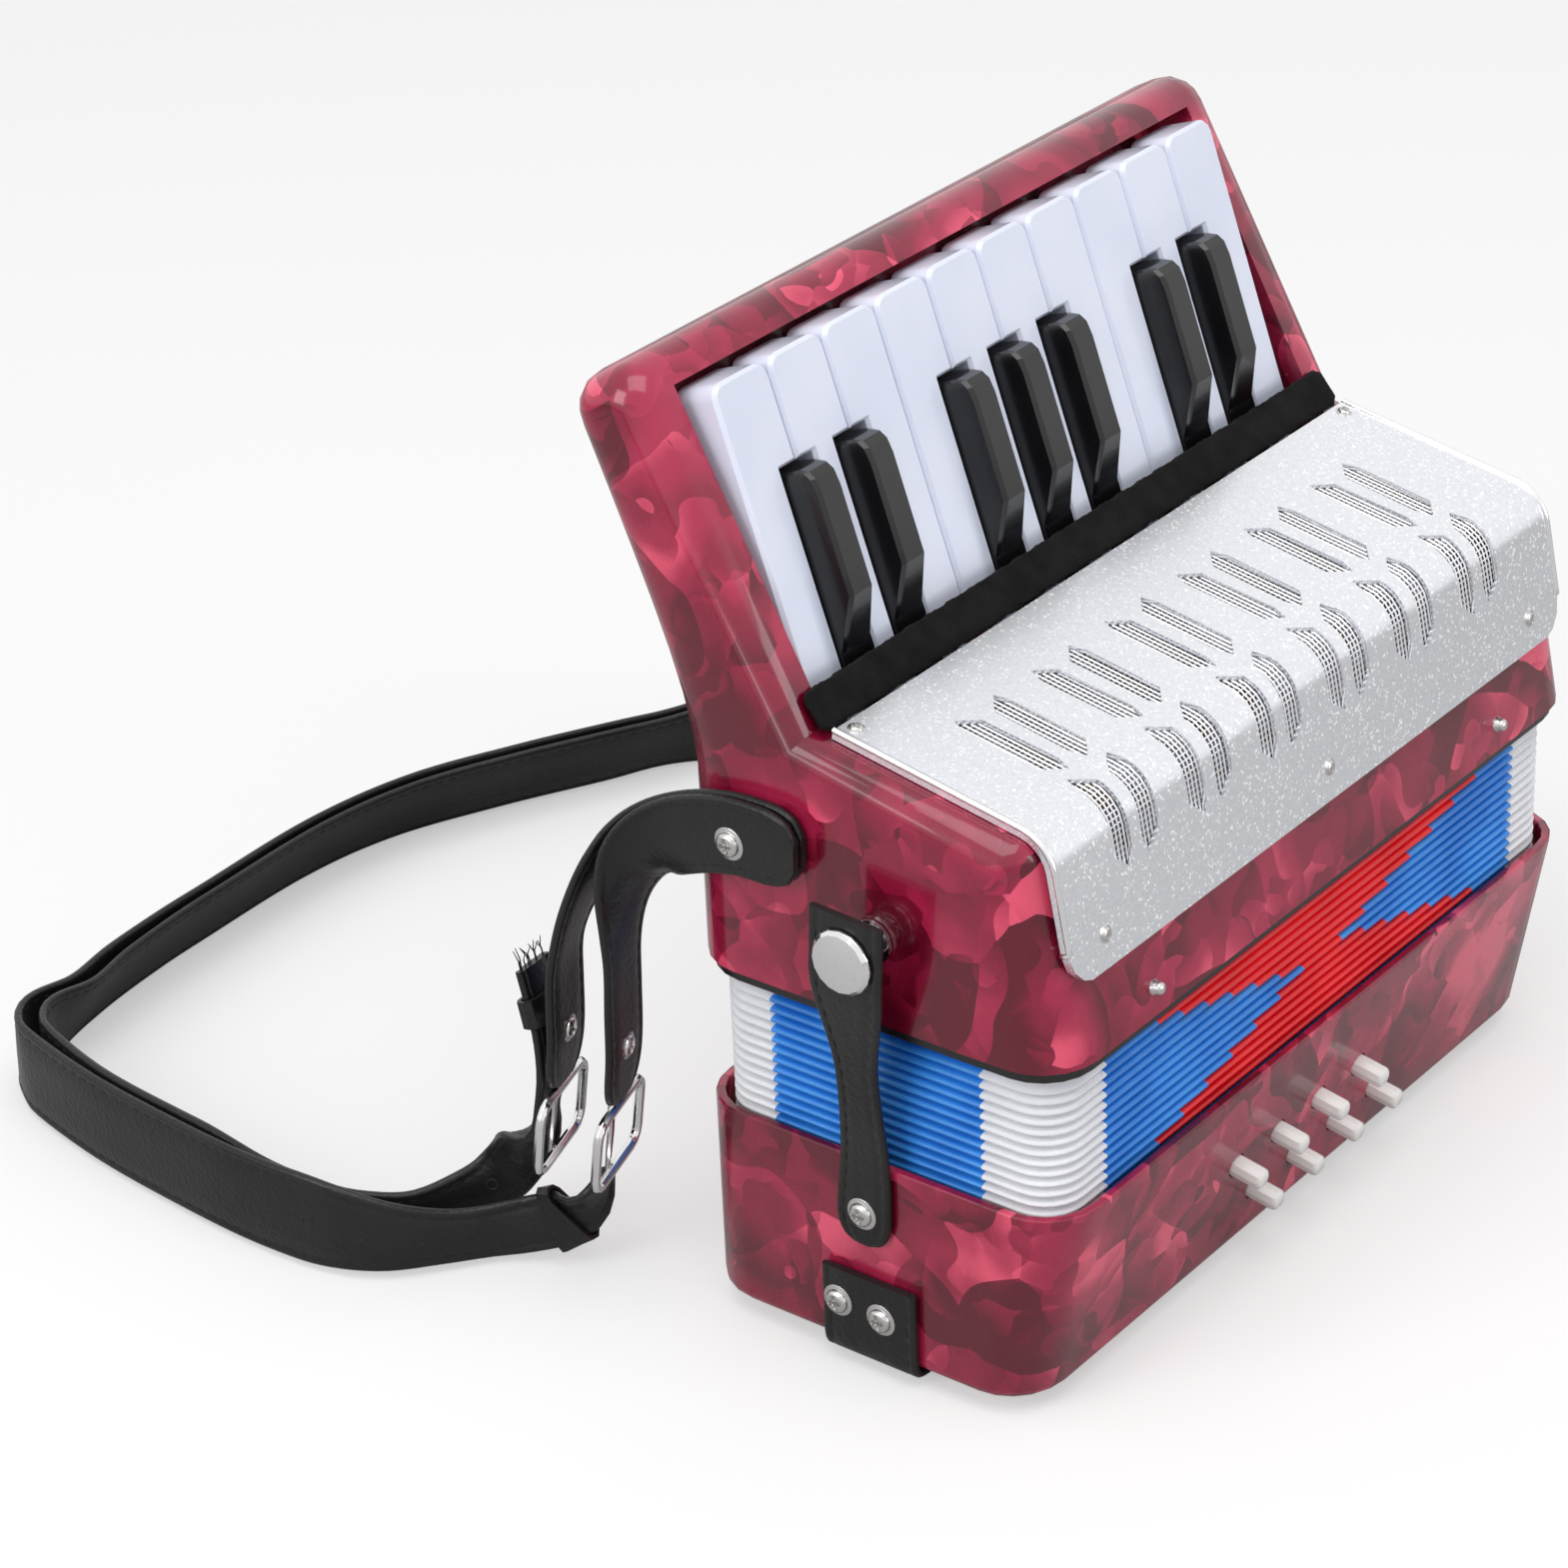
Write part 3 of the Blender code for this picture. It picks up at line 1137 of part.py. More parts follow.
def strap_routes():
    """Centre lines of the shoulder straps, with the direction of their width.

    Rows are x, y, z and the width direction; x counts from the end walls.
    """
    wall = -HALF_W
    far = HALF_W
    up = (0.0, 0.0, 1.0)
    hang = (-0.96, -0.28, 0.0)
    tab_a = [(wall - 0.0046, 0.0145, 0.1365, *up), (wall - 0.0046, 0.0300, 0.1367, *up),
             (wall - 0.0047, 0.0391, 0.1352, *up), (wall - 0.0049, 0.0475, 0.1323, -0.05, 0.1, 1.0),
             (wall - 0.0052, 0.0548, 0.1279, -0.25, 0.2, 0.9), (wall - 0.0051, 0.0606, 0.1216, -0.55, 0.2, 0.75),
             (wall - 0.0050, 0.0643, 0.1134, -0.85, 0.05, 0.45), (wall - 0.0050, 0.0664, 0.1043, -0.95, -0.15, 0.15),
             (wall - 0.0050, 0.0674, 0.0942, *hang), (wall - 0.0050, 0.0681, 0.0821, *hang),
             (wall - 0.0050, 0.0688, 0.0686, *hang), (wall - 0.0050, 0.0708, 0.0545, *hang)]
    tab_b = beside(tab_a, -LEATHER_T - 3 * GAP, -0.0150, 0.26, 0.74)
    low = (SHOULDER_W / 2 + 0.0012,)
    lean = (-0.1, -0.52, 0.85)
    flat = (SHOULDER_W / 2 * 0.86 + 0.0016,)
    long_a = [(wall - 0.0054, 0.0774, 0.0305, -0.9, -0.3, 0.2), (wall - 0.0068, 0.0822, 0.0210, -0.5, -0.2, 0.8),
              (wall - 0.0080, 0.0896, 0.0145, 0.0, 0.0, 1.0), (wall - 0.0114, 0.0980, 0.0110, 0.1, 0.1, 1.0),
              (wall - 0.0172, 0.1055, 0.0095, *up), (wall - 0.0261, 0.1127, 0.0100, *up),
              (wall - 0.0367, 0.1223, 0.0122, *up), (wall - 0.0430, 0.1367, *low, *up),
              (wall - 0.0446, 0.1608, *low, *up), (wall - 0.0429, 0.1899, *low, *up),
              (wall - 0.0397, 0.2182, *low, *up), (wall - 0.0343, 0.2440, *low, *up),
              (wall - 0.0302, 0.2542, *low, *up), (wall - 0.0219, 0.2619, *low, 0.0, -0.2, 0.95),
              (wall - 0.0052, 0.2672, *flat, *lean), (wall + 0.0124, 0.2706, *flat, *lean),
              (wall + 0.0332, 0.2724, *flat, *lean), (wall + 0.0529, 0.2730, *flat, *lean),
              (wall + 0.0963, 0.2737, *flat, *lean), (wall + 0.1304, 0.2678, *flat, *lean),
              (far - 0.0691, 0.2541, *flat, *lean), (far - 0.0406, 0.2387, *flat, *lean),
              (far - 0.0207, 0.2278, *flat, *lean), (far + 0.0029, 0.2109, *low, 0.0, -0.2, 0.95),
              (far + 0.0183, 0.1825, 0.0210, *up), (far + 0.0270, 0.1410, 0.0450, 0.0, 0.35, 0.94),
              (far + 0.0232, 0.0925, 0.0925, 0.0, 0.55, 0.83), (far + 0.0104, 0.0545, 0.1294, 0.0, 0.35, 0.94),
              (far + 0.0056, 0.0290, 0.1352, *up), (far + 0.0056, 0.0120, 0.1352, *up)]
    long_b = [(wall - 0.0055, 0.0957, 0.0833, *hang), (wall - 0.0065, 0.0915, 0.0703, *hang),
              (wall - 0.0078, 0.0896, 0.0602, *hang), (wall - 0.0088, 0.0900, 0.0513, *hang),
              (wall - 0.0090, 0.0926, 0.0420, *hang), (wall - 0.0078, 0.0990, 0.0335, -0.6, 0.2, 0.6),
              (wall - 0.0060, 0.1056, 0.0240, -0.15, 0.1, 1.0), (wall - 0.0070, 0.1118, 0.0165, 0.0, 0.0, 1.0),
              (wall - 0.0130, 0.1182, 0.0122, *up), (wall - 0.0247, 0.1245, 0.0105, *up),
              (wall - 0.0337, 0.1340, 0.0122, *up), (wall - 0.0386, 0.1450, *low, *up),
              (wall - 0.0408, 0.1626, *low, *up), (wall - 0.0394, 0.1897, *low, *up),
              (wall - 0.0363, 0.2175, *low, *up), (wall - 0.0300, 0.2415, *low, *up),
              (wall - 0.0258, 0.2498, *low, *up), (wall - 0.0188, 0.2562, *low, 0.0, -0.2, 0.95),
              (wall - 0.0033, 0.2611, *flat, *lean), (wall + 0.0137, 0.2650, *flat, *lean),
              (wall + 0.0339, 0.2674, *flat, *lean), (wall + 0.0531, 0.2684, *flat, *lean),
              (wall + 0.0961, 0.2690, *flat, *lean), (wall + 0.1280, 0.2634, *flat, *lean),
              (far - 0.0714, 0.2499, *flat, *lean), (far - 0.0430, 0.2346, *flat, *lean),
              (far - 0.0237, 0.2244, *flat, *lean), (far - 0.0017, 0.2072, *low, 0.0, -0.2, 0.95),
              (far + 0.0140, 0.1804, 0.0210, *up), (far + 0.0228, 0.1393, 0.0445, 0.0, 0.35, 0.94),
              (far + 0.0194, 0.0904, 0.0915, 0.0, 0.55, 0.83), (far + 0.0062, 0.0525, 0.1289, 0.0, 0.35, 0.94),
              (far + 0.0021, 0.0290, 0.1349, *up), (far + 0.0021, 0.0150, 0.1349, *up)]
    return tab_a, tab_b, long_a, long_b


def shoulder_straps():
    tab_a, tab_b, long_a, long_b = strap_routes()
    for name, route, width, thickness, count, billet in (
            ("strap_tab_a", tab_a, TAB_W, LEATHER_T, TAB_STEPS, 0.0),
            ("strap_tab_b", tab_b, TAB_W, LEATHER_T, TAB_STEPS, 0.0),
            ("shoulder_strap_a", long_a, SHOULDER_W, SHOULDER_T, STRAP_STEPS, 0.045),
            ("shoulder_strap_b", long_b, SHOULDER_W, SHOULDER_T, STRAP_STEPS, 0.115)):
        shape, length = band(route, width, thickness, count, 0.010, billet)
        smooth(add_object(name, shape, "leather"))
        print(name, "length", round(length, 4))


def buckle(name, center, across, along):
    """Rectangular wire frame with rounded corners, square to the strap."""
    along = np.array(along, float)
    across = np.array(across, float)
    across = across - along * (across @ along)
    across = across / np.linalg.norm(across)
    face = np.cross(across, along)
    path = round_rect(-BUCKLE_W / 2, BUCKLE_W / 2, -BUCKLE_L / 2, BUCKLE_L / 2, 0.004, 3)
    path = np.array(path)
    rings = []
    for i, (u, v) in enumerate(path):
        ahead = path[(i + 1) % len(path)] - path[i - 1]
        ahead = ahead / np.linalg.norm(ahead)
        normal = np.array([ahead[1], -ahead[0]])
        ring = []
        for k in range(6):
            angle = 2 * math.pi * k / 6
            spot = np.array([u, v]) + normal * math.cos(angle) * BUCKLE_BAR / 2
            ring.append(np.array(center) + across * spot[0] + along * spot[1]
                        + face * math.sin(angle) * BUCKLE_BAR / 2)
        rings.append(ring)
    smooth(add_object(name, loft(rings, closed=True), "chrome"), 60.0)


def buckles():
    """Each frame hangs at the end of its short strap."""
    tab_a, tab_b, _, _ = strap_routes()
    for name, route in (("buckle_a", tab_a), ("buckle_b", tab_b)):
        even, _ = smooth_route(route, TAB_STEPS)
        end = even[-1, :3]
        along = end - even[-2, :3]
        along = along / np.linalg.norm(along)
        reach = BUCKLE_L / 2 + BUCKLE_BAR / 2 + 2 * GAP
        buckle(name, end + along * reach, route[-1][3:6], along)


def seat_at_origin():
    """Hang everything on one empty and centre the instrument, without its loose straps, on it."""
    loose = ("strap_tab", "shoulder_strap", "buckle")
    bpy.context.view_layer.update()
    solids = [item for item in bpy.context.scene.objects if item.type == "MESH"]
    rigid = [item for item in solids if not item.name.startswith(loose)]
    spread = []
    for item in rigid:
        spread += [item.matrix_world @ vertex.co for vertex in item.data.vertices]
    low_y = min(point.y for point in spread)
    high_y = max(point.y for point in spread)
    root = bpy.data.objects.new("accordion", None)
    bpy.context.scene.collection.objects.link(root)
    for item in solids:
        item.parent = root
    root.location.y = -(low_y + high_y) / 2
    print("centre moved by", round(root.location.y, 5))


def main():
    clear_scene()
    treble_case()
    treble_grille()
    grille_mesh()
    key_strip()
    key_axle()
    key_rest_felt()
    for number in range(1, WHITE_COUNT + 1):
        white_key(number)
    for number, after in enumerate(BLACK_AFTER, start=1):
        black_key(number, after)
    treble_soundboard()
    treble_reed_blocks()
    bellows_frame_treble()
    bellows()
    bellows_frame_bass()
    bass_soundboard()
    bass_reed_block()
    bass_button_guide()
    bass_case()
    bass_buttons()
    feet()
    hand_strap()
    bellows_strap(-1, "left")
    bellows_strap(1, "right")
    shoulder_straps()
    buckles()
    seat_at_origin()


main()
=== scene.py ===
# %% [markdown]
# # Finishing a child-size piano accordion
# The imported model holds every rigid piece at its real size: cases, keys, grille, buttons and buckles.
# This lesson gives those pieces their finishes and adds what a solid model leaves plain:
# leather straps, folded cloth, felt, wire cloth and screws. Everything is in metres, in one frame.

# %% Load the frame
import json
import math

import bmesh
import bpy
import numpy as np
from mathutils import Matrix, Vector
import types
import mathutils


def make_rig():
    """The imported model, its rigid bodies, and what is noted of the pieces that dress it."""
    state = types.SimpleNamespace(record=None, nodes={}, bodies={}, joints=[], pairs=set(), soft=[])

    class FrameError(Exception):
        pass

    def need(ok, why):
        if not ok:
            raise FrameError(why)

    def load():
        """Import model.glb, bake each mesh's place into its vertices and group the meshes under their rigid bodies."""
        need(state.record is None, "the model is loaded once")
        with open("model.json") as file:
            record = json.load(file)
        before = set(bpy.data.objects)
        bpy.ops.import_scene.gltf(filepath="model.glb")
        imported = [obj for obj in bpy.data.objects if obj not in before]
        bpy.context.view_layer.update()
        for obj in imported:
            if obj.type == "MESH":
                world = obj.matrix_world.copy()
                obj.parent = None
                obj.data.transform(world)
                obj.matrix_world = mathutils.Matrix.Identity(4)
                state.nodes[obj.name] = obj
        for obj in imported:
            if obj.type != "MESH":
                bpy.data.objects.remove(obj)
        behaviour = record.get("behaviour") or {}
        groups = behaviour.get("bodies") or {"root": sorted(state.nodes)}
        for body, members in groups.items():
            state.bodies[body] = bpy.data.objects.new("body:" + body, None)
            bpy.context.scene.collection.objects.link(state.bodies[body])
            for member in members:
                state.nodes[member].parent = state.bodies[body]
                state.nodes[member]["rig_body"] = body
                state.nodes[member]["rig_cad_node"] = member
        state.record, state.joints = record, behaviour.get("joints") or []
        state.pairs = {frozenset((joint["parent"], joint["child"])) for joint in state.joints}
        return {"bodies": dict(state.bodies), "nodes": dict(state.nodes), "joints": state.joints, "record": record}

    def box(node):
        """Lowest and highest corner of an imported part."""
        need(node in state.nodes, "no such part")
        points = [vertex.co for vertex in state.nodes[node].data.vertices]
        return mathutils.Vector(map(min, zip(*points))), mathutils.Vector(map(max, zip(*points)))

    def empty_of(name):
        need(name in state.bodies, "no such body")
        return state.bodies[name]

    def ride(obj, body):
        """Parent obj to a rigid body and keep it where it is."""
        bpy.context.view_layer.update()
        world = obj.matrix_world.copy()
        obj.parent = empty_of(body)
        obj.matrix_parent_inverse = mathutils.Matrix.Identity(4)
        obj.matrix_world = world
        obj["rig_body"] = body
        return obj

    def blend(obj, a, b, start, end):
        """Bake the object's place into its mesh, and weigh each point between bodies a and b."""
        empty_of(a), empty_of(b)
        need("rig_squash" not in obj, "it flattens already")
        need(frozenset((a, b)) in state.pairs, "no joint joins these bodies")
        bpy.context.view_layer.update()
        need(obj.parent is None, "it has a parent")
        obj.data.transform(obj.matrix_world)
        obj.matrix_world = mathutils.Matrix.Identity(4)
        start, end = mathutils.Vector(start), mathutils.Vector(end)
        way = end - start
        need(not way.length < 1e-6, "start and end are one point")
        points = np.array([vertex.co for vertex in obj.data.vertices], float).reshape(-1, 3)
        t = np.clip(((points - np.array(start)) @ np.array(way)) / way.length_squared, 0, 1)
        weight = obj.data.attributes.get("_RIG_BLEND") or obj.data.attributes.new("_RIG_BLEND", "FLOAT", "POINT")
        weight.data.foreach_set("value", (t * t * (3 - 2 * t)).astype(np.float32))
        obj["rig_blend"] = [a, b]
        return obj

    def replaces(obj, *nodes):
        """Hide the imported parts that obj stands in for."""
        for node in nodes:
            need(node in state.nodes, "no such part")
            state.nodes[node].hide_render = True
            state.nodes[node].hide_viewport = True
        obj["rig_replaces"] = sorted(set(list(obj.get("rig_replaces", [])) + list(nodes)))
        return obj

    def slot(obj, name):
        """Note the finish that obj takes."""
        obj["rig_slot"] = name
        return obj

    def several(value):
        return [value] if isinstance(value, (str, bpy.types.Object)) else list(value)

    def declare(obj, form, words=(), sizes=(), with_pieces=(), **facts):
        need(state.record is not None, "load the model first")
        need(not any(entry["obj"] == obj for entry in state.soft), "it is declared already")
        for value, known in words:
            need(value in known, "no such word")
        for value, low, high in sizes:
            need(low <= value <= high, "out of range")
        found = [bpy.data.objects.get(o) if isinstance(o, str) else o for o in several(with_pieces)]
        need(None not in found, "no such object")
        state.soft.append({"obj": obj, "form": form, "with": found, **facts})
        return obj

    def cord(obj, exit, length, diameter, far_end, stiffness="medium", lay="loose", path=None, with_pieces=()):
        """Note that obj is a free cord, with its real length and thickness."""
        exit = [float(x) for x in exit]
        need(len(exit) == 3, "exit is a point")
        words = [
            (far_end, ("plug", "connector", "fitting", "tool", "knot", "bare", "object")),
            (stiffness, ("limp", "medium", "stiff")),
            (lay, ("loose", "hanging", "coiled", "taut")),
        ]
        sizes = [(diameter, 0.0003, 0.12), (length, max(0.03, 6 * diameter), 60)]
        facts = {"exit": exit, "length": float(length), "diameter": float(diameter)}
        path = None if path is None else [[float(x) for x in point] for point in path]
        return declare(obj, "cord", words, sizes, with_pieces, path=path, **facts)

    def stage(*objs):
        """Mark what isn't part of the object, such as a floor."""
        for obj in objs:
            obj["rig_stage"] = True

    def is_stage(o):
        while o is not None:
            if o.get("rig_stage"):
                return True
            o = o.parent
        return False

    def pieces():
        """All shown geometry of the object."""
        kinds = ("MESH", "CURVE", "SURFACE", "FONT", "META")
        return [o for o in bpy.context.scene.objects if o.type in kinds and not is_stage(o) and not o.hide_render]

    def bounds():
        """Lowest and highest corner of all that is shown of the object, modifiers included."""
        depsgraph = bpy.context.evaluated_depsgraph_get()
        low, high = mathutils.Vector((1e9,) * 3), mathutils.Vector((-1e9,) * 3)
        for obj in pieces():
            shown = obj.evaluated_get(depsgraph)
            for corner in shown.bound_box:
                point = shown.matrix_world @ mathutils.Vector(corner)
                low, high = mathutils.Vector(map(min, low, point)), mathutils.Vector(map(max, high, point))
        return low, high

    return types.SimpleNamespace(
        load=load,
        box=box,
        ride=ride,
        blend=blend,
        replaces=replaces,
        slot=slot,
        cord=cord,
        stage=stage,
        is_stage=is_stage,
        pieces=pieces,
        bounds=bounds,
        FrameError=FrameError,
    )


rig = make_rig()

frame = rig.load()
cad_low, cad_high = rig.bounds()
nodes = frame["nodes"]
scene = bpy.context.scene
print("frame:", len(nodes), "nodes,", len(frame["joints"]), "joints")

# %% [markdown]
# ## Camera
# The instrument is seen from its left end, from above. A camera could be aimed with a constraint,
# but a place and two directions state the view exactly, so the matrix is built from them.
# The image is square, so the lens follows from the focal length in pixels of a 1569-pixel frame.

# %% Camera
IMAGE_SIDE_PX = 1569
FOCAL_PX = 4707.953
SENSOR_MM = 36.0
CAMERA_PLACE = Vector((-0.833481, -0.571175, 0.649736))
CAMERA_LOOK = Vector((0.68455745, 0.55313022, -0.47479263))
CAMERA_UP = Vector((0.39803885, 0.2620256, 0.87915167))


def make_camera():
    data = bpy.data.cameras.new("photo_camera")
    data.sensor_fit = "HORIZONTAL"
    data.sensor_width = SENSOR_MM
    data.lens = SENSOR_MM * FOCAL_PX / IMAGE_SIDE_PX
    camera = bpy.data.objects.new("photo_camera", data)
    scene.collection.objects.link(camera)
    right = CAMERA_LOOK.cross(CAMERA_UP)
    turn = Matrix((right, CAMERA_UP, -CAMERA_LOOK)).transposed()
    camera.matrix_world = Matrix.Translation(CAMERA_PLACE) @ turn.to_4x4()
    scene.camera = camera
    return camera


print("camera lens:", round(make_camera().data.lens, 1), "mm")

# %% [markdown]
# ## Mesh helpers
# Most new pieces are skins over a row of rings: a strap, a felt bar, a bead, a turned screw head.
# A modifier stack could do some of these, but one loft function covers them all and closes
# every shape it makes.

# %% Mesh helpers
GAP = 0.0003
HALF_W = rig.box("bass_case")[1].x
MIDDLE_Y = (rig.box("bellows_frame_treble")[0].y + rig.box("bellows_frame_treble")[1].y) / 2


def body_of(node):
    return nodes[node]["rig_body"]


def loft(rings, closed=False):
    """Skin over rings of equal count; closed makes a ring of rings."""
    count = len(rings[0])
    steps = len(rings)
    points = [tuple(p) for ring in rings for p in ring]
    faces = []
    for i in range(steps if closed else steps - 1):
        j = (i + 1) % steps
        for k in range(count):
            n = (k + 1) % count
            faces.append((i * count + k, i * count + n, j * count + n, j * count + k))
    if not closed:
        faces.append(tuple(range(count))[::-1])
        faces.append(tuple((steps - 1) * count + k for k in range(count)))
    return points, faces


def join(shapes):
    points = []
    faces = []
    for shape_points, shape_faces in shapes:
        start = len(points)
        points.extend(shape_points)
        faces.extend(tuple(start + i for i in face) for face in shape_faces)
    return points, faces


def add_piece(name, shape, body, sharp_degrees=42.0):
    """Closed mesh object with outward faces, riding on a body of the frame."""
    mesh = bpy.data.meshes.new(name)
    mesh.from_pydata(shape[0], [], shape[1])
    work = bmesh.new()
    work.from_mesh(mesh)
    bmesh.ops.recalc_face_normals(work, faces=work.faces)
    work.to_mesh(mesh)
    work.free()
    mesh.shade_smooth()
    mesh.set_sharp_from_angle(angle=math.radians(sharp_degrees))
    piece = bpy.data.objects.new(name, mesh)
    scene.collection.objects.link(piece)
    if body:
        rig.ride(piece, body)
    return piece


def unit(vector):
    vector = np.array(vector, float)
    return vector / np.linalg.norm(vector)


def tube(path, radius, sides=8, closed=False):
    """Round bar along a path; radius is one number or one for each point."""
    path = np.array(path, float)
    radii = np.broadcast_to(np.array(radius, float), (len(path),))
    side = None
    rings = []
    for i, place in enumerate(path):
        if closed:
            ahead = unit(path[(i + 1) % len(path)] - path[i - 1])
        else:
            ahead = unit(path[min(i + 1, len(path) - 1)] - path[max(i - 1, 0)])
        if side is None:
            side = np.cross(ahead, (0.0, 0.0, 1.0) if abs(ahead[2]) < 0.9 else (1.0, 0.0, 0.0))
        side = unit(side - ahead * (side @ ahead))
        other = np.cross(ahead, side)
        angles = [2 * math.pi * k / sides for k in range(sides)]
        rings.append([place + radii[i] * (math.cos(a) * side + math.sin(a) * other) for a in angles])
    return loft(rings, closed)


print("case half width", round(HALF_W, 4), "middle", round(MIDDLE_Y, 5))

# %% [markdown]
# ## Shoulder straps: routes
# Two shoulder straps hang on the case: each is a short strap with a buckle, screwed to the end wall,
# and a long one that lies on the ground in a loop and goes round to the far end wall.
# A flat strap keeps its length and turns its width, so each route row is a point and the
# direction of the strap's width there. A smooth curve runs through the rows.

# %% Shoulder straps: routes
LEATHER_T = 0.0020
SHOULDER_W = 0.0260
SHOULDER_T = 0.0028
TAB_W = 0.0196
BILLET_W = 0.0150
TAB_STEPS = 26


def smooth_route(points, count):
    """Even samples of a smooth curve through the given rows, and its length."""
    points = np.array(points, float)
    padded = np.vstack([2 * points[0] - points[1], points, 2 * points[-1] - points[-2]])
    dense = []
    for i in range(len(points) - 1):
        a, b, c, d = padded[i:i + 4]
        for t in np.linspace(0.0, 1.0, 16, endpoint=False):
            dense.append(0.5 * (2 * b + (c - a) * t + (2 * a - 5 * b + 4 * c - d) * t ** 2
                                + (3 * b - a - 3 * c + d) * t ** 3))
    dense.append(points[-1])
    dense = np.array(dense)
    step = np.linalg.norm(np.diff(dense[:, :3], axis=0), axis=1)
    length = np.concatenate([[0.0], np.cumsum(step)])
    wanted = np.linspace(0.0, length[-1], count)
    even = np.stack([np.interp(wanted, length, dense[:, k]) for k in range(dense.shape[1])], axis=1)
    return even, length[-1]


def beside(route, near, away, start, end):
    """Route of a second strap that lies against the first and then spreads away from it."""
    even, _ = smooth_route(route, TAB_STEPS)
    tangents = np.gradient(even[:, :3], axis=0)
    rows = []
    for i, row in enumerate(even):
        tangent = unit(tangents[i])
        across = unit(row[3:6] - tangent * (row[3:6] @ tangent))
        share = float(np.clip((i / (TAB_STEPS - 1) - start) / (end - start), 0.0, 1.0))
        reach = near + (away - near) * share * share * (3.0 - 2.0 * share)
        rows.append((*(row[:3] - np.cross(tangent, across) * reach), *across))
    return rows


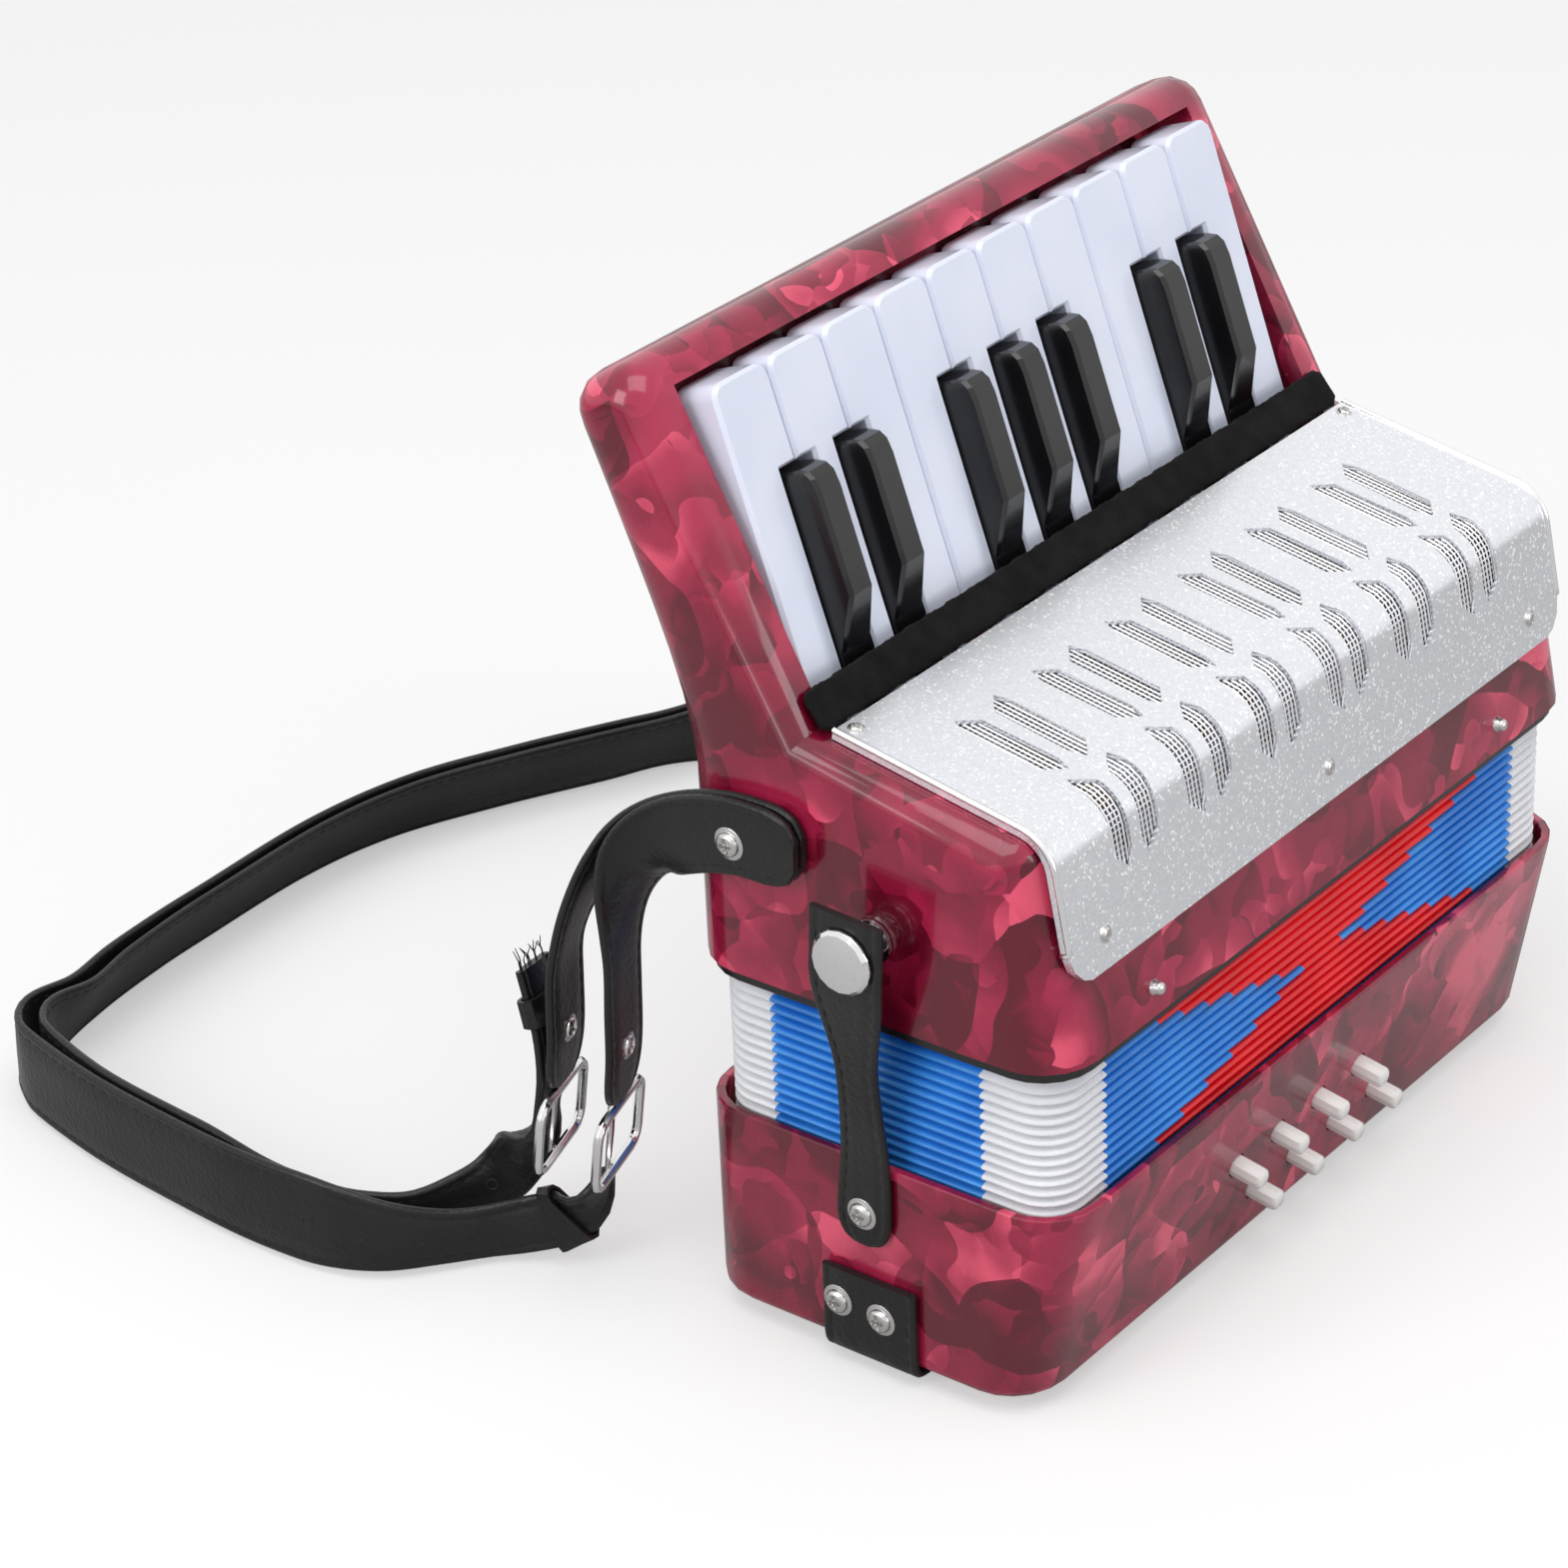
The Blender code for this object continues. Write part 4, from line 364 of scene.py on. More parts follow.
def strap_routes():
    """Rows are x, y, z and the width direction; x counts from the end walls, y from the case's middle."""
    wall = -HALF_W
    far = HALF_W
    up = (0.0, 0.0, 1.0)
    hang = (-0.96, -0.28, 0.0)
    tab_a = [(wall - 0.0046, 0.0145, 0.1365, *up), (wall - 0.0046, 0.0300, 0.1367, *up),
             (wall - 0.0047, 0.0391, 0.1352, *up), (wall - 0.0049, 0.0475, 0.1323, -0.05, 0.1, 1.0),
             (wall - 0.0052, 0.0548, 0.1279, -0.25, 0.2, 0.9), (wall - 0.0051, 0.0606, 0.1216, -0.55, 0.2, 0.75),
             (wall - 0.0050, 0.0643, 0.1134, -0.85, 0.05, 0.45), (wall - 0.0050, 0.0664, 0.1043, -0.95, -0.15, 0.15),
             (wall - 0.0050, 0.0674, 0.0942, *hang), (wall - 0.0050, 0.0681, 0.0821, *hang),
             (wall - 0.0050, 0.0688, 0.0686, *hang), (wall - 0.0050, 0.0708, 0.0545, *hang)]
    tab_b = beside(tab_a, -LEATHER_T - 3 * GAP, -0.0150, 0.26, 0.74)
    low = (SHOULDER_W / 2 + 0.0012,)
    lean = (-0.1, -0.52, 0.85)
    flat = (SHOULDER_W / 2 * 0.86 + 0.0016,)
    long_a = [(wall - 0.0054, 0.0774, 0.0305, -0.9, -0.3, 0.2), (wall - 0.0068, 0.0822, 0.0210, -0.5, -0.2, 0.8),
              (wall - 0.0080, 0.0896, 0.0145, 0.0, 0.0, 1.0), (wall - 0.0114, 0.0980, 0.0110, 0.1, 0.1, 1.0),
              (wall - 0.0172, 0.1055, 0.0095, *up), (wall - 0.0261, 0.1127, 0.0100, *up),
              (wall - 0.0367, 0.1223, 0.0122, *up), (wall - 0.0430, 0.1367, *low, *up),
              (wall - 0.0446, 0.1608, *low, *up), (wall - 0.0429, 0.1899, *low, *up),
              (wall - 0.0397, 0.2182, *low, *up), (wall - 0.0343, 0.2440, *low, *up),
              (wall - 0.0302, 0.2542, *low, *up), (wall - 0.0219, 0.2619, *low, 0.0, -0.2, 0.95),
              (wall - 0.0052, 0.2672, *flat, *lean), (wall + 0.0124, 0.2706, *flat, *lean),
              (wall + 0.0332, 0.2724, *flat, *lean), (wall + 0.0529, 0.2730, *flat, *lean),
              (wall + 0.0963, 0.2737, *flat, *lean), (wall + 0.1304, 0.2678, *flat, *lean),
              (far - 0.0691, 0.2541, *flat, *lean), (far - 0.0406, 0.2387, *flat, *lean),
              (far - 0.0207, 0.2278, *flat, *lean), (far + 0.0029, 0.2109, *low, 0.0, -0.2, 0.95),
              (far + 0.0183, 0.1825, 0.0210, *up), (far + 0.0270, 0.1410, 0.0450, 0.0, 0.35, 0.94),
              (far + 0.0232, 0.0925, 0.0925, 0.0, 0.55, 0.83), (far + 0.0104, 0.0545, 0.1294, 0.0, 0.35, 0.94),
              (far + 0.0056, 0.0290, 0.1352, *up), (far + 0.0056, 0.0120, 0.1352, *up)]
    long_b = [(wall - 0.0055, 0.0957, 0.0833, *hang), (wall - 0.0065, 0.0915, 0.0703, *hang),
              (wall - 0.0078, 0.0896, 0.0602, *hang), (wall - 0.0088, 0.0900, 0.0513, *hang),
              (wall - 0.0090, 0.0926, 0.0420, *hang), (wall - 0.0078, 0.0990, 0.0335, -0.6, 0.2, 0.6),
              (wall - 0.0060, 0.1056, 0.0240, -0.15, 0.1, 1.0), (wall - 0.0070, 0.1118, 0.0165, 0.0, 0.0, 1.0),
              (wall - 0.0130, 0.1182, 0.0122, *up), (wall - 0.0247, 0.1245, 0.0105, *up),
              (wall - 0.0337, 0.1340, 0.0122, *up), (wall - 0.0386, 0.1450, *low, *up),
              (wall - 0.0408, 0.1626, *low, *up), (wall - 0.0394, 0.1897, *low, *up),
              (wall - 0.0363, 0.2175, *low, *up), (wall - 0.0300, 0.2415, *low, *up),
              (wall - 0.0258, 0.2498, *low, *up), (wall - 0.0188, 0.2562, *low, 0.0, -0.2, 0.95),
              (wall - 0.0033, 0.2611, *flat, *lean), (wall + 0.0137, 0.2650, *flat, *lean),
              (wall + 0.0339, 0.2674, *flat, *lean), (wall + 0.0531, 0.2684, *flat, *lean),
              (wall + 0.0961, 0.2690, *flat, *lean), (wall + 0.1280, 0.2634, *flat, *lean),
              (far - 0.0714, 0.2499, *flat, *lean), (far - 0.0430, 0.2346, *flat, *lean),
              (far - 0.0237, 0.2244, *flat, *lean), (far - 0.0017, 0.2072, *low, 0.0, -0.2, 0.95),
              (far + 0.0140, 0.1804, 0.0210, *up), (far + 0.0228, 0.1393, 0.0445, 0.0, 0.35, 0.94),
              (far + 0.0194, 0.0904, 0.0915, 0.0, 0.55, 0.83), (far + 0.0062, 0.0525, 0.1289, 0.0, 0.35, 0.94),
              (far + 0.0021, 0.0290, 0.1349, *up), (far + 0.0021, 0.0150, 0.1349, *up)]
    routes = []
    for rows in (tab_a, tab_b, long_a, long_b):
        routes.append([(row[0], row[1] + MIDDLE_Y, *row[2:]) for row in rows])
    return routes


TAB_A, TAB_B, LONG_A, LONG_B = strap_routes()
print("strap rows:", [len(r) for r in (TAB_A, TAB_B, LONG_A, LONG_B)])

# %% [markdown]
# ## Shoulder straps: leather bands
# Real straps are two thin layers turned in at the edges and sewn, so a cross-section has rolled edges,
# a shallow groove under each line of stitches and a slightly padded middle.
# A bevelled curve gives only one round section, so the section is lofted along the route instead.

# %% Shoulder straps: leather bands
STITCH_IN = 0.0024
GROOVE_DEEP = 0.00022
STITCH_LONG = 0.0030
STITCH_STEP = 0.0043
THREAD_W = 0.00050
THREAD_H = 0.00026
ROUND_END = 0.010


def strap_section(half, thick, crown):
    """Half-outline pairs (across, out) of one face, then the other face back again."""
    groove = half - min(STITCH_IN, half * 0.45)
    lip = min(0.0006, half * 0.1)
    low = thick / 2
    face = [(-half, 0.0), (-half + 0.12 * thick, 0.34 * thick), (-half + 0.40 * thick, low),
            (-groove - lip, low), (-groove, low - GROOVE_DEEP), (-groove + lip, low),
            (-groove * 0.5, low + crown * 0.8), (0.0, low + crown)]
    face = face + [(-u, v) for u, v in face[-2::-1]]
    back = [(u, -v) for u, v in face[-2:0:-1]]
    return face + back


class Band:
    """A strap's rings and the frame at each of them."""

    def __init__(self, route, half_at, thick, count, crown):
        even, self.length = smooth_route(route, count)
        self.places = even[:, :3]
        tangents = np.gradient(self.places, axis=0)
        self.ahead = np.array([unit(t) for t in tangents])
        across = even[:, 3:6] - self.ahead * (even[:, 3:6] * self.ahead).sum(axis=1)[:, None]
        self.across = np.array([unit(a) for a in across])
        self.out = np.cross(self.ahead, self.across)
        self.along = np.linspace(0.0, self.length, count)
        self.half = np.array([half_at(s, self.length) for s in self.along])
        self.thick = thick
        self.crown = crown

    def rings(self):
        made = []
        for i, place in enumerate(self.places):
            section = strap_section(self.half[i], self.thick, self.crown)
            made.append([place + self.across[i] * u + self.out[i] * v for u, v in section])
        return made

    def at(self, s):
        """Place, across, out, ahead and half width at a length along the strap."""
        values = []
        for table in (self.places, self.across, self.out, self.ahead):
            values.append(np.array([np.interp(s, self.along, table[:, k]) for k in range(3)]))
        place, across, out, ahead = values
        return place, unit(across), unit(out), unit(ahead), float(np.interp(s, self.along, self.half))


def tapered(half, s, length, first=True):
    """Half width drawn in to a round tip near each end."""
    from_end = min(s, length - s) if first else length - s
    if from_end >= ROUND_END:
        return half
    share = 1.0 - from_end / ROUND_END
    return half * (0.45 + 0.55 * math.sqrt(max(1.0 - share ** 2, 0.0)))


def billet_half(billet, first):
    """Width of a long strap: narrow where it passes the buckle, then full."""
    def half_at(s, length):
        share = float(np.clip((s - billet) / 0.045, 0.0, 1.0))
        wide = BILLET_W + (SHOULDER_W - BILLET_W) * share * share * (3.0 - 2.0 * share)
        return tapered(wide / 2, s, length, first)
    return half_at


def tab_half(s, length):
    return tapered(TAB_W / 2, s, length)


def stitch_shape(band, start, end, edge_in=STITCH_IN):
    """Thread along both edges, on both faces, as short raised bars."""
    shapes = []
    for s in np.arange(start, end - STITCH_LONG, STITCH_STEP):
        for side in (-1.0, 1.0):
            for face in (-1.0, 1.0):
                rings = []
                for t, rise in ((0.0, 0.2), (0.3, 1.0), (0.7, 1.0), (1.0, 0.2)):
                    place, across, out, _, half = band.at(s + t * STITCH_LONG)
                    middle = place + across * side * (half - min(edge_in, half * 0.45))
                    base = band.thick / 2 - GROOVE_DEEP - 0.0001
                    top = base + 0.0001 + THREAD_H * rise
                    ring = []
                    for u, v in ((-1, base), (1, base), (0.55, top), (-0.55, top)):
                        ring.append(middle + across * u * THREAD_W / 2 + out * face * v)
                    rings.append(ring)
                shapes.append(loft(rings))
    return join(shapes)


def leather_strap(label, node, route, half_at, thick, count, crown):
    band = Band(route, half_at, thick, count, crown)
    piece = add_piece(f"{label}_leather", loft(band.rings()), body_of(node), 60.0)
    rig.replaces(piece, node)
    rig.slot(piece, "leather")
    thread = add_piece(f"{label}_stitches", stitch_shape(band, 0.006, band.length - 0.006), None)
    thread.parent = piece
    print(label, "length", round(band.length, 4), "m")
    return piece, thread, band


tab_a, tab_a_thread, tab_a_band = leather_strap("tab_a", "strap_tab_a", TAB_A, tab_half, LEATHER_T, 60, 0.0)
tab_b, tab_b_thread, tab_b_band = leather_strap("tab_b", "strap_tab_b", TAB_B, tab_half, LEATHER_T, 60, 0.0)
long_a, long_a_thread, long_a_band = leather_strap(
    "long_a", "shoulder_strap_a", LONG_A, billet_half(0.045, True), SHOULDER_T - 0.0006, 240, 0.0003)
long_b, long_b_thread, long_b_band = leather_strap(
    "long_b", "shoulder_strap_b", LONG_B, billet_half(0.115, False), SHOULDER_T - 0.0006, 240, 0.0003)

# %% [markdown]
# ## Shoulder straps: fittings and lengths
# A buckle needs its prong, each short strap has a rivet at its turned end, the billets have punched
# holes, and one billet ends in a raw cut with loose threads. Each is a small closed mesh.
# Then every free strap is declared with its length, so that the frame can measure it.

# %% Shoulder straps: fittings
BUCKLE_L = 0.0195
BUCKLE_BAR = 0.0026
PRONG_R = 0.0010
HOLE_R = 0.0012
HOLE_STEP = 0.014
RIVET_FROM_END = 0.015


def turned(profile, place, axis, sides=24):
    """Solid turned from (radius, height) pairs about an axis."""
    axis = unit(axis)
    helper = np.array([0.0, 0.0, 1.0]) if abs(axis[2]) < 0.9 else np.array([1.0, 0.0, 0.0])
    side = unit(np.cross(helper, axis))
    other = np.cross(axis, side)
    rings = []
    for radius, height in profile:
        angles = [2 * math.pi * k / sides for k in range(sides)]
        rings.append([np.array(place) + axis * height + radius * (math.cos(a) * side + math.sin(a) * other)
                      for a in angles])
    return loft(rings)


def screw_shape(place, axis, radius, height):
    """Pan head on a flange, with a cross recess pressed into its dome."""
    axis = unit(axis)
    side = unit(np.cross((0.3, 0.2, 1.0), axis))
    other = np.cross(axis, side)
    sides = 40
    profile = [(1.32, 0.0), (1.32, 0.10), (1.26, 0.16), (1.04, 0.18), (1.0, 0.22), (0.98, 0.45), (0.90, 0.72),
               (0.78, 0.86), (0.66, 0.94), (0.55, 0.98), (0.44, 1.0), (0.30, 1.0), (0.16, 1.0), (0.05, 1.0)]
    rings = []
    for share, lift in profile:
        ring = []
        for k in range(sides):
            angle = 2 * math.pi * k / sides
            u, v = share * math.cos(angle), share * math.sin(angle)
            in_cross = min(abs(u), abs(v)) < 0.15 and share < 0.60
            level = lift - (0.62 if in_cross else 0.0)
            ring.append(np.array(place) + axis * height * level + radius * (u * side + v * other))
        rings.append(ring)
    return loft(rings)


def eyelet_shape(band, s, face):
    """Punched hole: a low lip round a pit."""
    place, _, out, _, _ = band.at(s)
    top = band.thick / 2 + band.crown
    profile = [(HOLE_R * 1.5, top - 0.0004), (HOLE_R * 1.45, top + 0.00005), (HOLE_R * 1.1, top + 0.00012),
               (HOLE_R * 0.9, top - 0.0001), (HOLE_R * 0.5, top - 0.0003)]
    return turned(profile, place, out * face, 16) if face > 0 else turned(profile, place, -out, 16)


def prong_shape(band):
    """Pin of a buckle, from the bar at the strap's end across the frame."""
    place, across, out, ahead, _ = band.at(band.length)
    reach = BUCKLE_L + BUCKLE_BAR + 2 * GAP
    lift = BUCKLE_BAR / 2 + PRONG_R * 0.9
    path = []
    for share, rise in ((0.02, 0.2), (0.06, 0.9), (0.2, 1.0), (0.5, 0.9), (0.8, 0.95), (1.04, 1.0)):
        path.append(place + ahead * reach * share + out * lift * rise)
    return tube(path, [PRONG_R, PRONG_R, PRONG_R, PRONG_R * 0.95, PRONG_R * 0.85, PRONG_R * 0.6], 8)


def keeper_shape(band, s0, s1):
    """Loop of leather round a strap."""
    rings = []
    grow = 0.0010
    for wide, s in ((grow, s0), (grow, s1), (0.0, s1), (0.0, s0)):
        place, across, out, _, half = band.at(s)
        u = half + 0.0006 + wide
        v = band.thick / 2 + band.crown + 0.0004 + wide
        corners = [(-u + v, -v), (u - v, -v), (u - v * 0.3, -v * 0.7), (u, 0.0), (u - v * 0.3, v * 0.7),
                   (u - v, v), (-u + v, v), (-u + v * 0.3, v * 0.7), (-u, 0.0), (-u + v * 0.3, -v * 0.7)]
        rings.append([place + across * a + out * b for a, b in corners])
    return loft(rings, closed=True)


def loose_threads():
    """Frayed threads at the raw end of the second billet."""
    place, across, out, ahead, half = long_b_band.at(0.0)
    shapes = []
    for k in range(13):
        share = (k - 6) / 6
        swing = math.sin(k * 2.4)
        reach = 0.0028 + 0.0022 * abs(math.sin(k * 1.7))
        start = place + across * share * half * 0.9 + out * 0.0006 * math.cos(k * 1.9)
        path = [start + ahead * 0.001, start - ahead * reach * 0.5 + across * 0.0006 * swing,
                start - ahead * reach + across * 0.0016 * swing + out * 0.0012 * math.cos(k * 3.1)]
        shapes.append(tube(path, [0.00022, 0.00018, 0.00010], 5))
    return join(shapes)


STRAP_BODY = body_of("strap_tab_a")
tab_fittings = {}
for label, strap, band in (("a", tab_a, tab_a_band), ("b", tab_b, tab_b_band)):
    prong = add_piece(f"buckle_prong_{label}", prong_shape(band), None)
    prong.parent = strap
    place, _, out, _, _ = band.at(band.length - RIVET_FROM_END)
    heads = [screw_shape(place + out * face * band.thick / 2, out * face, 0.0026, 0.0012) for face in (-1.0, 1.0)]
    rivet = add_piece(f"tab_rivet_{label}", join(heads), None)
    rivet.parent = strap
    tab_fittings[label] = (prong, rivet)

billet_pieces = {}
for label, strap, band, first in (("a", long_a, long_a_band, 0.030), ("b", long_b, long_b_band, 0.020)):
    shapes = []
    for k in range(5):
        for face in (-1.0, 1.0):
            shapes.append(eyelet_shape(band, first + k * HOLE_STEP, face))
    holes = add_piece(f"billet_holes_{label}", join(shapes), None)
    holes.parent = strap
    keeper = add_piece(f"strap_keeper_{label}", keeper_shape(band, first - 0.013, first - 0.006), None)
    keeper.parent = strap
    billet_pieces[label] = (holes, keeper)
frayed = add_piece("billet_threads_b", loose_threads(), None)
frayed.parent = long_b

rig.cord(tab_a, exit=tab_a_band.places[0], length=tab_a_band.length, diameter=TAB_W, far_end="fitting",
        stiffness="medium", lay="hanging", path=tab_a_band.places, with_pieces=[nodes["buckle_a"]])
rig.cord(tab_b, exit=tab_b_band.places[0], length=tab_b_band.length, diameter=TAB_W, far_end="fitting",
        stiffness="medium", lay="hanging", path=tab_b_band.places, with_pieces=[nodes["buckle_b"]])
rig.cord(long_a, exit=long_a_band.places[0], length=long_a_band.length, diameter=SHOULDER_W, far_end="object",
        stiffness="medium", lay="loose", path=long_a_band.places)
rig.cord(long_b, exit=long_b_band.places[-1], length=long_b_band.length, diameter=SHOULDER_W, far_end="bare",
        stiffness="medium", lay="loose", path=long_b_band.places)
print("strap fittings:", len(tab_fittings) + len(billet_pieces), "sets")

# %% [markdown]
# ## Bellows
# The bellows is card and cloth folded in fifteen pleats, with white cloth at the corners and a stepped red
# figure on the front. A texture could paint the figure, but real bellows change colour from pleat to pleat,
# so the mesh has vertices where the colours meet and each face takes one of three materials.
# It is stretched between the two cases, so it bends between both bodies.

# %% Bellows
FOLDS = 15
FOLD_DEPTH = 0.0090
FOLD_CLOTH = 0.0022
CREST_R = 0.0106
CREST_POWER = 3.4
FOLD_STEPS = (-1.0, -0.92, -0.78, -0.55, -0.25, 0.25, 0.55, 0.78, 0.92)
FIGURE_MIDDLE_X = 0.0015
FIGURE_HALF = 0.0085
FIGURE_STEP = 0.0104
FIGURE_ROWS = 6
CORNER_FRONT_X = 0.0905
CORNER_END_Y = (-0.028, 0.0315)
BLUE, RED, WHITE = 0, 1, 2


def bellows_outline():
    """Perimeter of the crest as (point, inward direction), anticlockwise from the front's left."""
    low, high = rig.box("bellows")
    r = CREST_R
    steps = [FIGURE_HALF + FIGURE_STEP * k for k in range(FIGURE_ROWS + 1)]
    front = sorted([FIGURE_MIDDLE_X - s for s in steps] + [FIGURE_MIDDLE_X + s for s in steps]
                   + [-CORNER_FRONT_X, CORNER_FRONT_X])
    ends = [MIDDLE_Y + y for y in CORNER_END_Y]
    walk = [((x, low.y), (0, 1)) for x in front]
    quarter = math.pi / 2
    corners = (((high.x - r, low.y + r), -quarter), ((high.x - r, high.y - r), 0.0),
               ((low.x + r, high.y - r), quarter), ((low.x + r, low.y + r), 2 * quarter))
    sides = ([((high.x, y), (-1, 0)) for y in ends], [((x, high.y), (0, -1)) for x in front[::-1]],
             [((low.x, y), (1, 0)) for y in ends[::-1]], [])
    for (center, start), side in zip(corners, sides):
        for k in range(7):
            a = start + quarter * k / 6
            way = (math.cos(a), math.sin(a))
            walk.append(((center[0] + r * way[0], center[1] + r * way[1]), (-way[0], -way[1])))
        walk += side
    return walk


def bellows_color(point, row, low, high):
    x, y = point
    if low.y + CREST_R < y < high.y - CREST_R:
        inside = CORNER_END_Y[0] < y - MIDDLE_Y < CORNER_END_Y[1]
        return BLUE if inside else WHITE
    if abs(x) > CORNER_FRONT_X:
        return WHITE
    middle_row = FOLDS // 2
    step = abs(row - middle_row)
    in_figure = step <= FIGURE_ROWS and abs(x - FIGURE_MIDDLE_X) < FIGURE_HALF + FIGURE_STEP * step
    return RED if y < MIDDLE_Y and in_figure else BLUE


def make_bellows():
    low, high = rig.box("bellows")
    pitch = (high.z - low.z) / FOLDS
    walk = bellows_outline()
    levels = []
    for row in range(FOLDS):
        for s in FOLD_STEPS:
            levels.append((low.z + pitch * (row + 0.5 + s / 2), FOLD_DEPTH * abs(s) ** CREST_POWER, row))
    levels.append((high.z, FOLD_DEPTH, FOLDS - 1))
    rings = [[(p[0] + n[0] * d, p[1] + n[1] * d, z) for p, n in walk] for z, d, _ in levels]
    rings += [[(p[0] + n[0] * (d + FOLD_CLOTH), p[1] + n[1] * (d + FOLD_CLOTH), z) for p, n in walk]
              for z, d, _ in levels[::-1]]
    piece = add_piece("bellows_pleats", loft(rings, closed=True), None, 75.0)
    rows = [row for _, _, row in levels]
    rows = rows + rows[::-1]
    count = len(walk)
    for polygon in piece.data.polygons:
        ring = min(v // count for v in polygon.vertices)
        spot = np.mean([walk[v % count][0] for v in polygon.vertices], axis=0)
        polygon.material_index = bellows_color(spot, rows[ring], low, high)
    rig.replaces(piece, "bellows")
    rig.slot(piece, "blue_cloth")
    return piece, low.z, high.z


bellows, bellows_low, bellows_high = make_bellows()
print("bellows:", len(bellows.data.polygons), "faces in", FOLDS, "pleats")

# %% [markdown]
# ## Felt pieces
# A black felt strip covers the roots of the keys, and a second one cushions them from below.
# Felt has no crisp edge, so the bar's own section is read from the frame, its corners are cut twice,
# and a little unevenness runs along it. A Bevel modifier alone would leave it straight and hard.

# %% Felt pieces
FELT_STEPS = 120
FELT_WOBBLE = 0.00018


def end_section(node):
    """Outline (y, z) of a bar's end face, read from the frame and put in order."""
    mesh = nodes[node].data
    far = max(v.co.x for v in mesh.vertices)
    spots = {(round(v.co.y, 6), round(v.co.z, 6)) for v in mesh.vertices if v.co.x > far - 1e-5}
    spots = np.array(sorted(spots))
    center = spots.mean(axis=0)
    turns = np.arctan2(spots[:, 1] - center[1], spots[:, 0] - center[0])
    return spots[np.argsort(turns)], far


def cut_corners(outline, share=0.25):
    ahead = np.roll(outline, -1, axis=0)
    first = outline * (1 - share) + ahead * share
    second = outline * share + ahead * (1 - share)
    return np.stack([first, second], axis=1).reshape(-1, 2)


def felt_bar(name, node):
    outline, half = end_section(node)
    outline = cut_corners(cut_corners(outline, 0.18))
    center = outline.mean(axis=0)
    rings = []
    for x in np.linspace(-half, half, FELT_STEPS + 1):
        from_end = half - abs(x)
        draw = 1.0 - 0.25 * max(0.0, 1.0 - from_end / 0.0012) ** 2
        ring = []
        for k, spot in enumerate(outline):
            wobble = FELT_WOBBLE * (math.sin(x * 1900 + k * 1.3) + math.sin(x * 730 - k * 0.7))
            way = unit(spot - center)
            y, z = center + (spot - center) * draw - way * (FELT_WOBBLE * 2 + wobble)
            ring.append((x, y, z))
        rings.append(ring)
    piece = add_piece(name, loft(rings), body_of(node), 60.0)
    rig.replaces(piece, node)
    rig.slot(piece, "black_felt")
    return piece


strip_felt = felt_bar("key_root_felt", "key_strip")
rest_felt = felt_bar("key_bed_felt", "key_rest_felt")
print("felt:", len(strip_felt.data.polygons) + len(rest_felt.data.polygons), "faces")

# %% [markdown]
# ## Straps on the case
# A hand strap is screwed to both end walls and runs under the bass case, and a waisted strap with a press
# stud holds the bellows shut at each end. They are leather too, so they use the same band,
# with their own routes and widths, and only the screwed ends differ.

# %% Straps on the case
STRAP_T = LEATHER_T - 0.0001


def hand_strap():
    low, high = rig.box("hand_strap")
    middle = (low.y + high.y) / 2
    half = (high.y - low.y) / 2
    x = high.x - LEATHER_T / 2
    z = low.z + LEATHER_T / 2
    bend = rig.box("bass_case")[0].z * 0.8
    side = [(x, high.z), (x, (high.z + z) / 2), (x, z + bend * 1.2), (x - bend * 0.28, z + bend * 0.28),
            (x - bend * 1.2, z), (x - bend * 3, z), (x * 0.5, z), (x * 0.15, z)]
    walk = side + [(-a, b) for a, b in side[::-1]]
    rows = [(a, middle, b, 0.0, 1.0, 0.0) for a, b in walk]
    band = Band(rows, lambda s, length: half, STRAP_T, 260, 0.0)
    piece = add_piece("hand_strap_leather", loft(band.rings()), body_of("hand_strap"), 60.0)
    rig.replaces(piece, "hand_strap")
    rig.slot(piece, "leather")
    thread = add_piece("hand_strap_stitches", stitch_shape(band, 0.002, band.length - 0.002), None)
    thread.parent = piece
    return piece, thread


WAIST_W = (0.0156, 0.0118, 0.0200)


def waist_half(s, length):
    """Round at the screw, narrow in the middle, wide at the stud."""
    low_w, waist_w, top_w = WAIST_W
    share = s / length
    if share < 0.5:
        blend = 0.5 - 0.5 * math.cos(2 * math.pi * share)
        half = (low_w + (waist_w - low_w) * blend) / 2
    else:
        blend = min((share - 0.5) / 0.34, 1.0)
        half = (waist_w + (top_w - waist_w) * (0.5 - 0.5 * math.cos(math.pi * blend))) / 2
    if s < low_w / 2:
        rest = 1.0 - s / (low_w / 2)
        half *= 0.35 + 0.65 * math.sqrt(1.0 - rest ** 2)
    return half


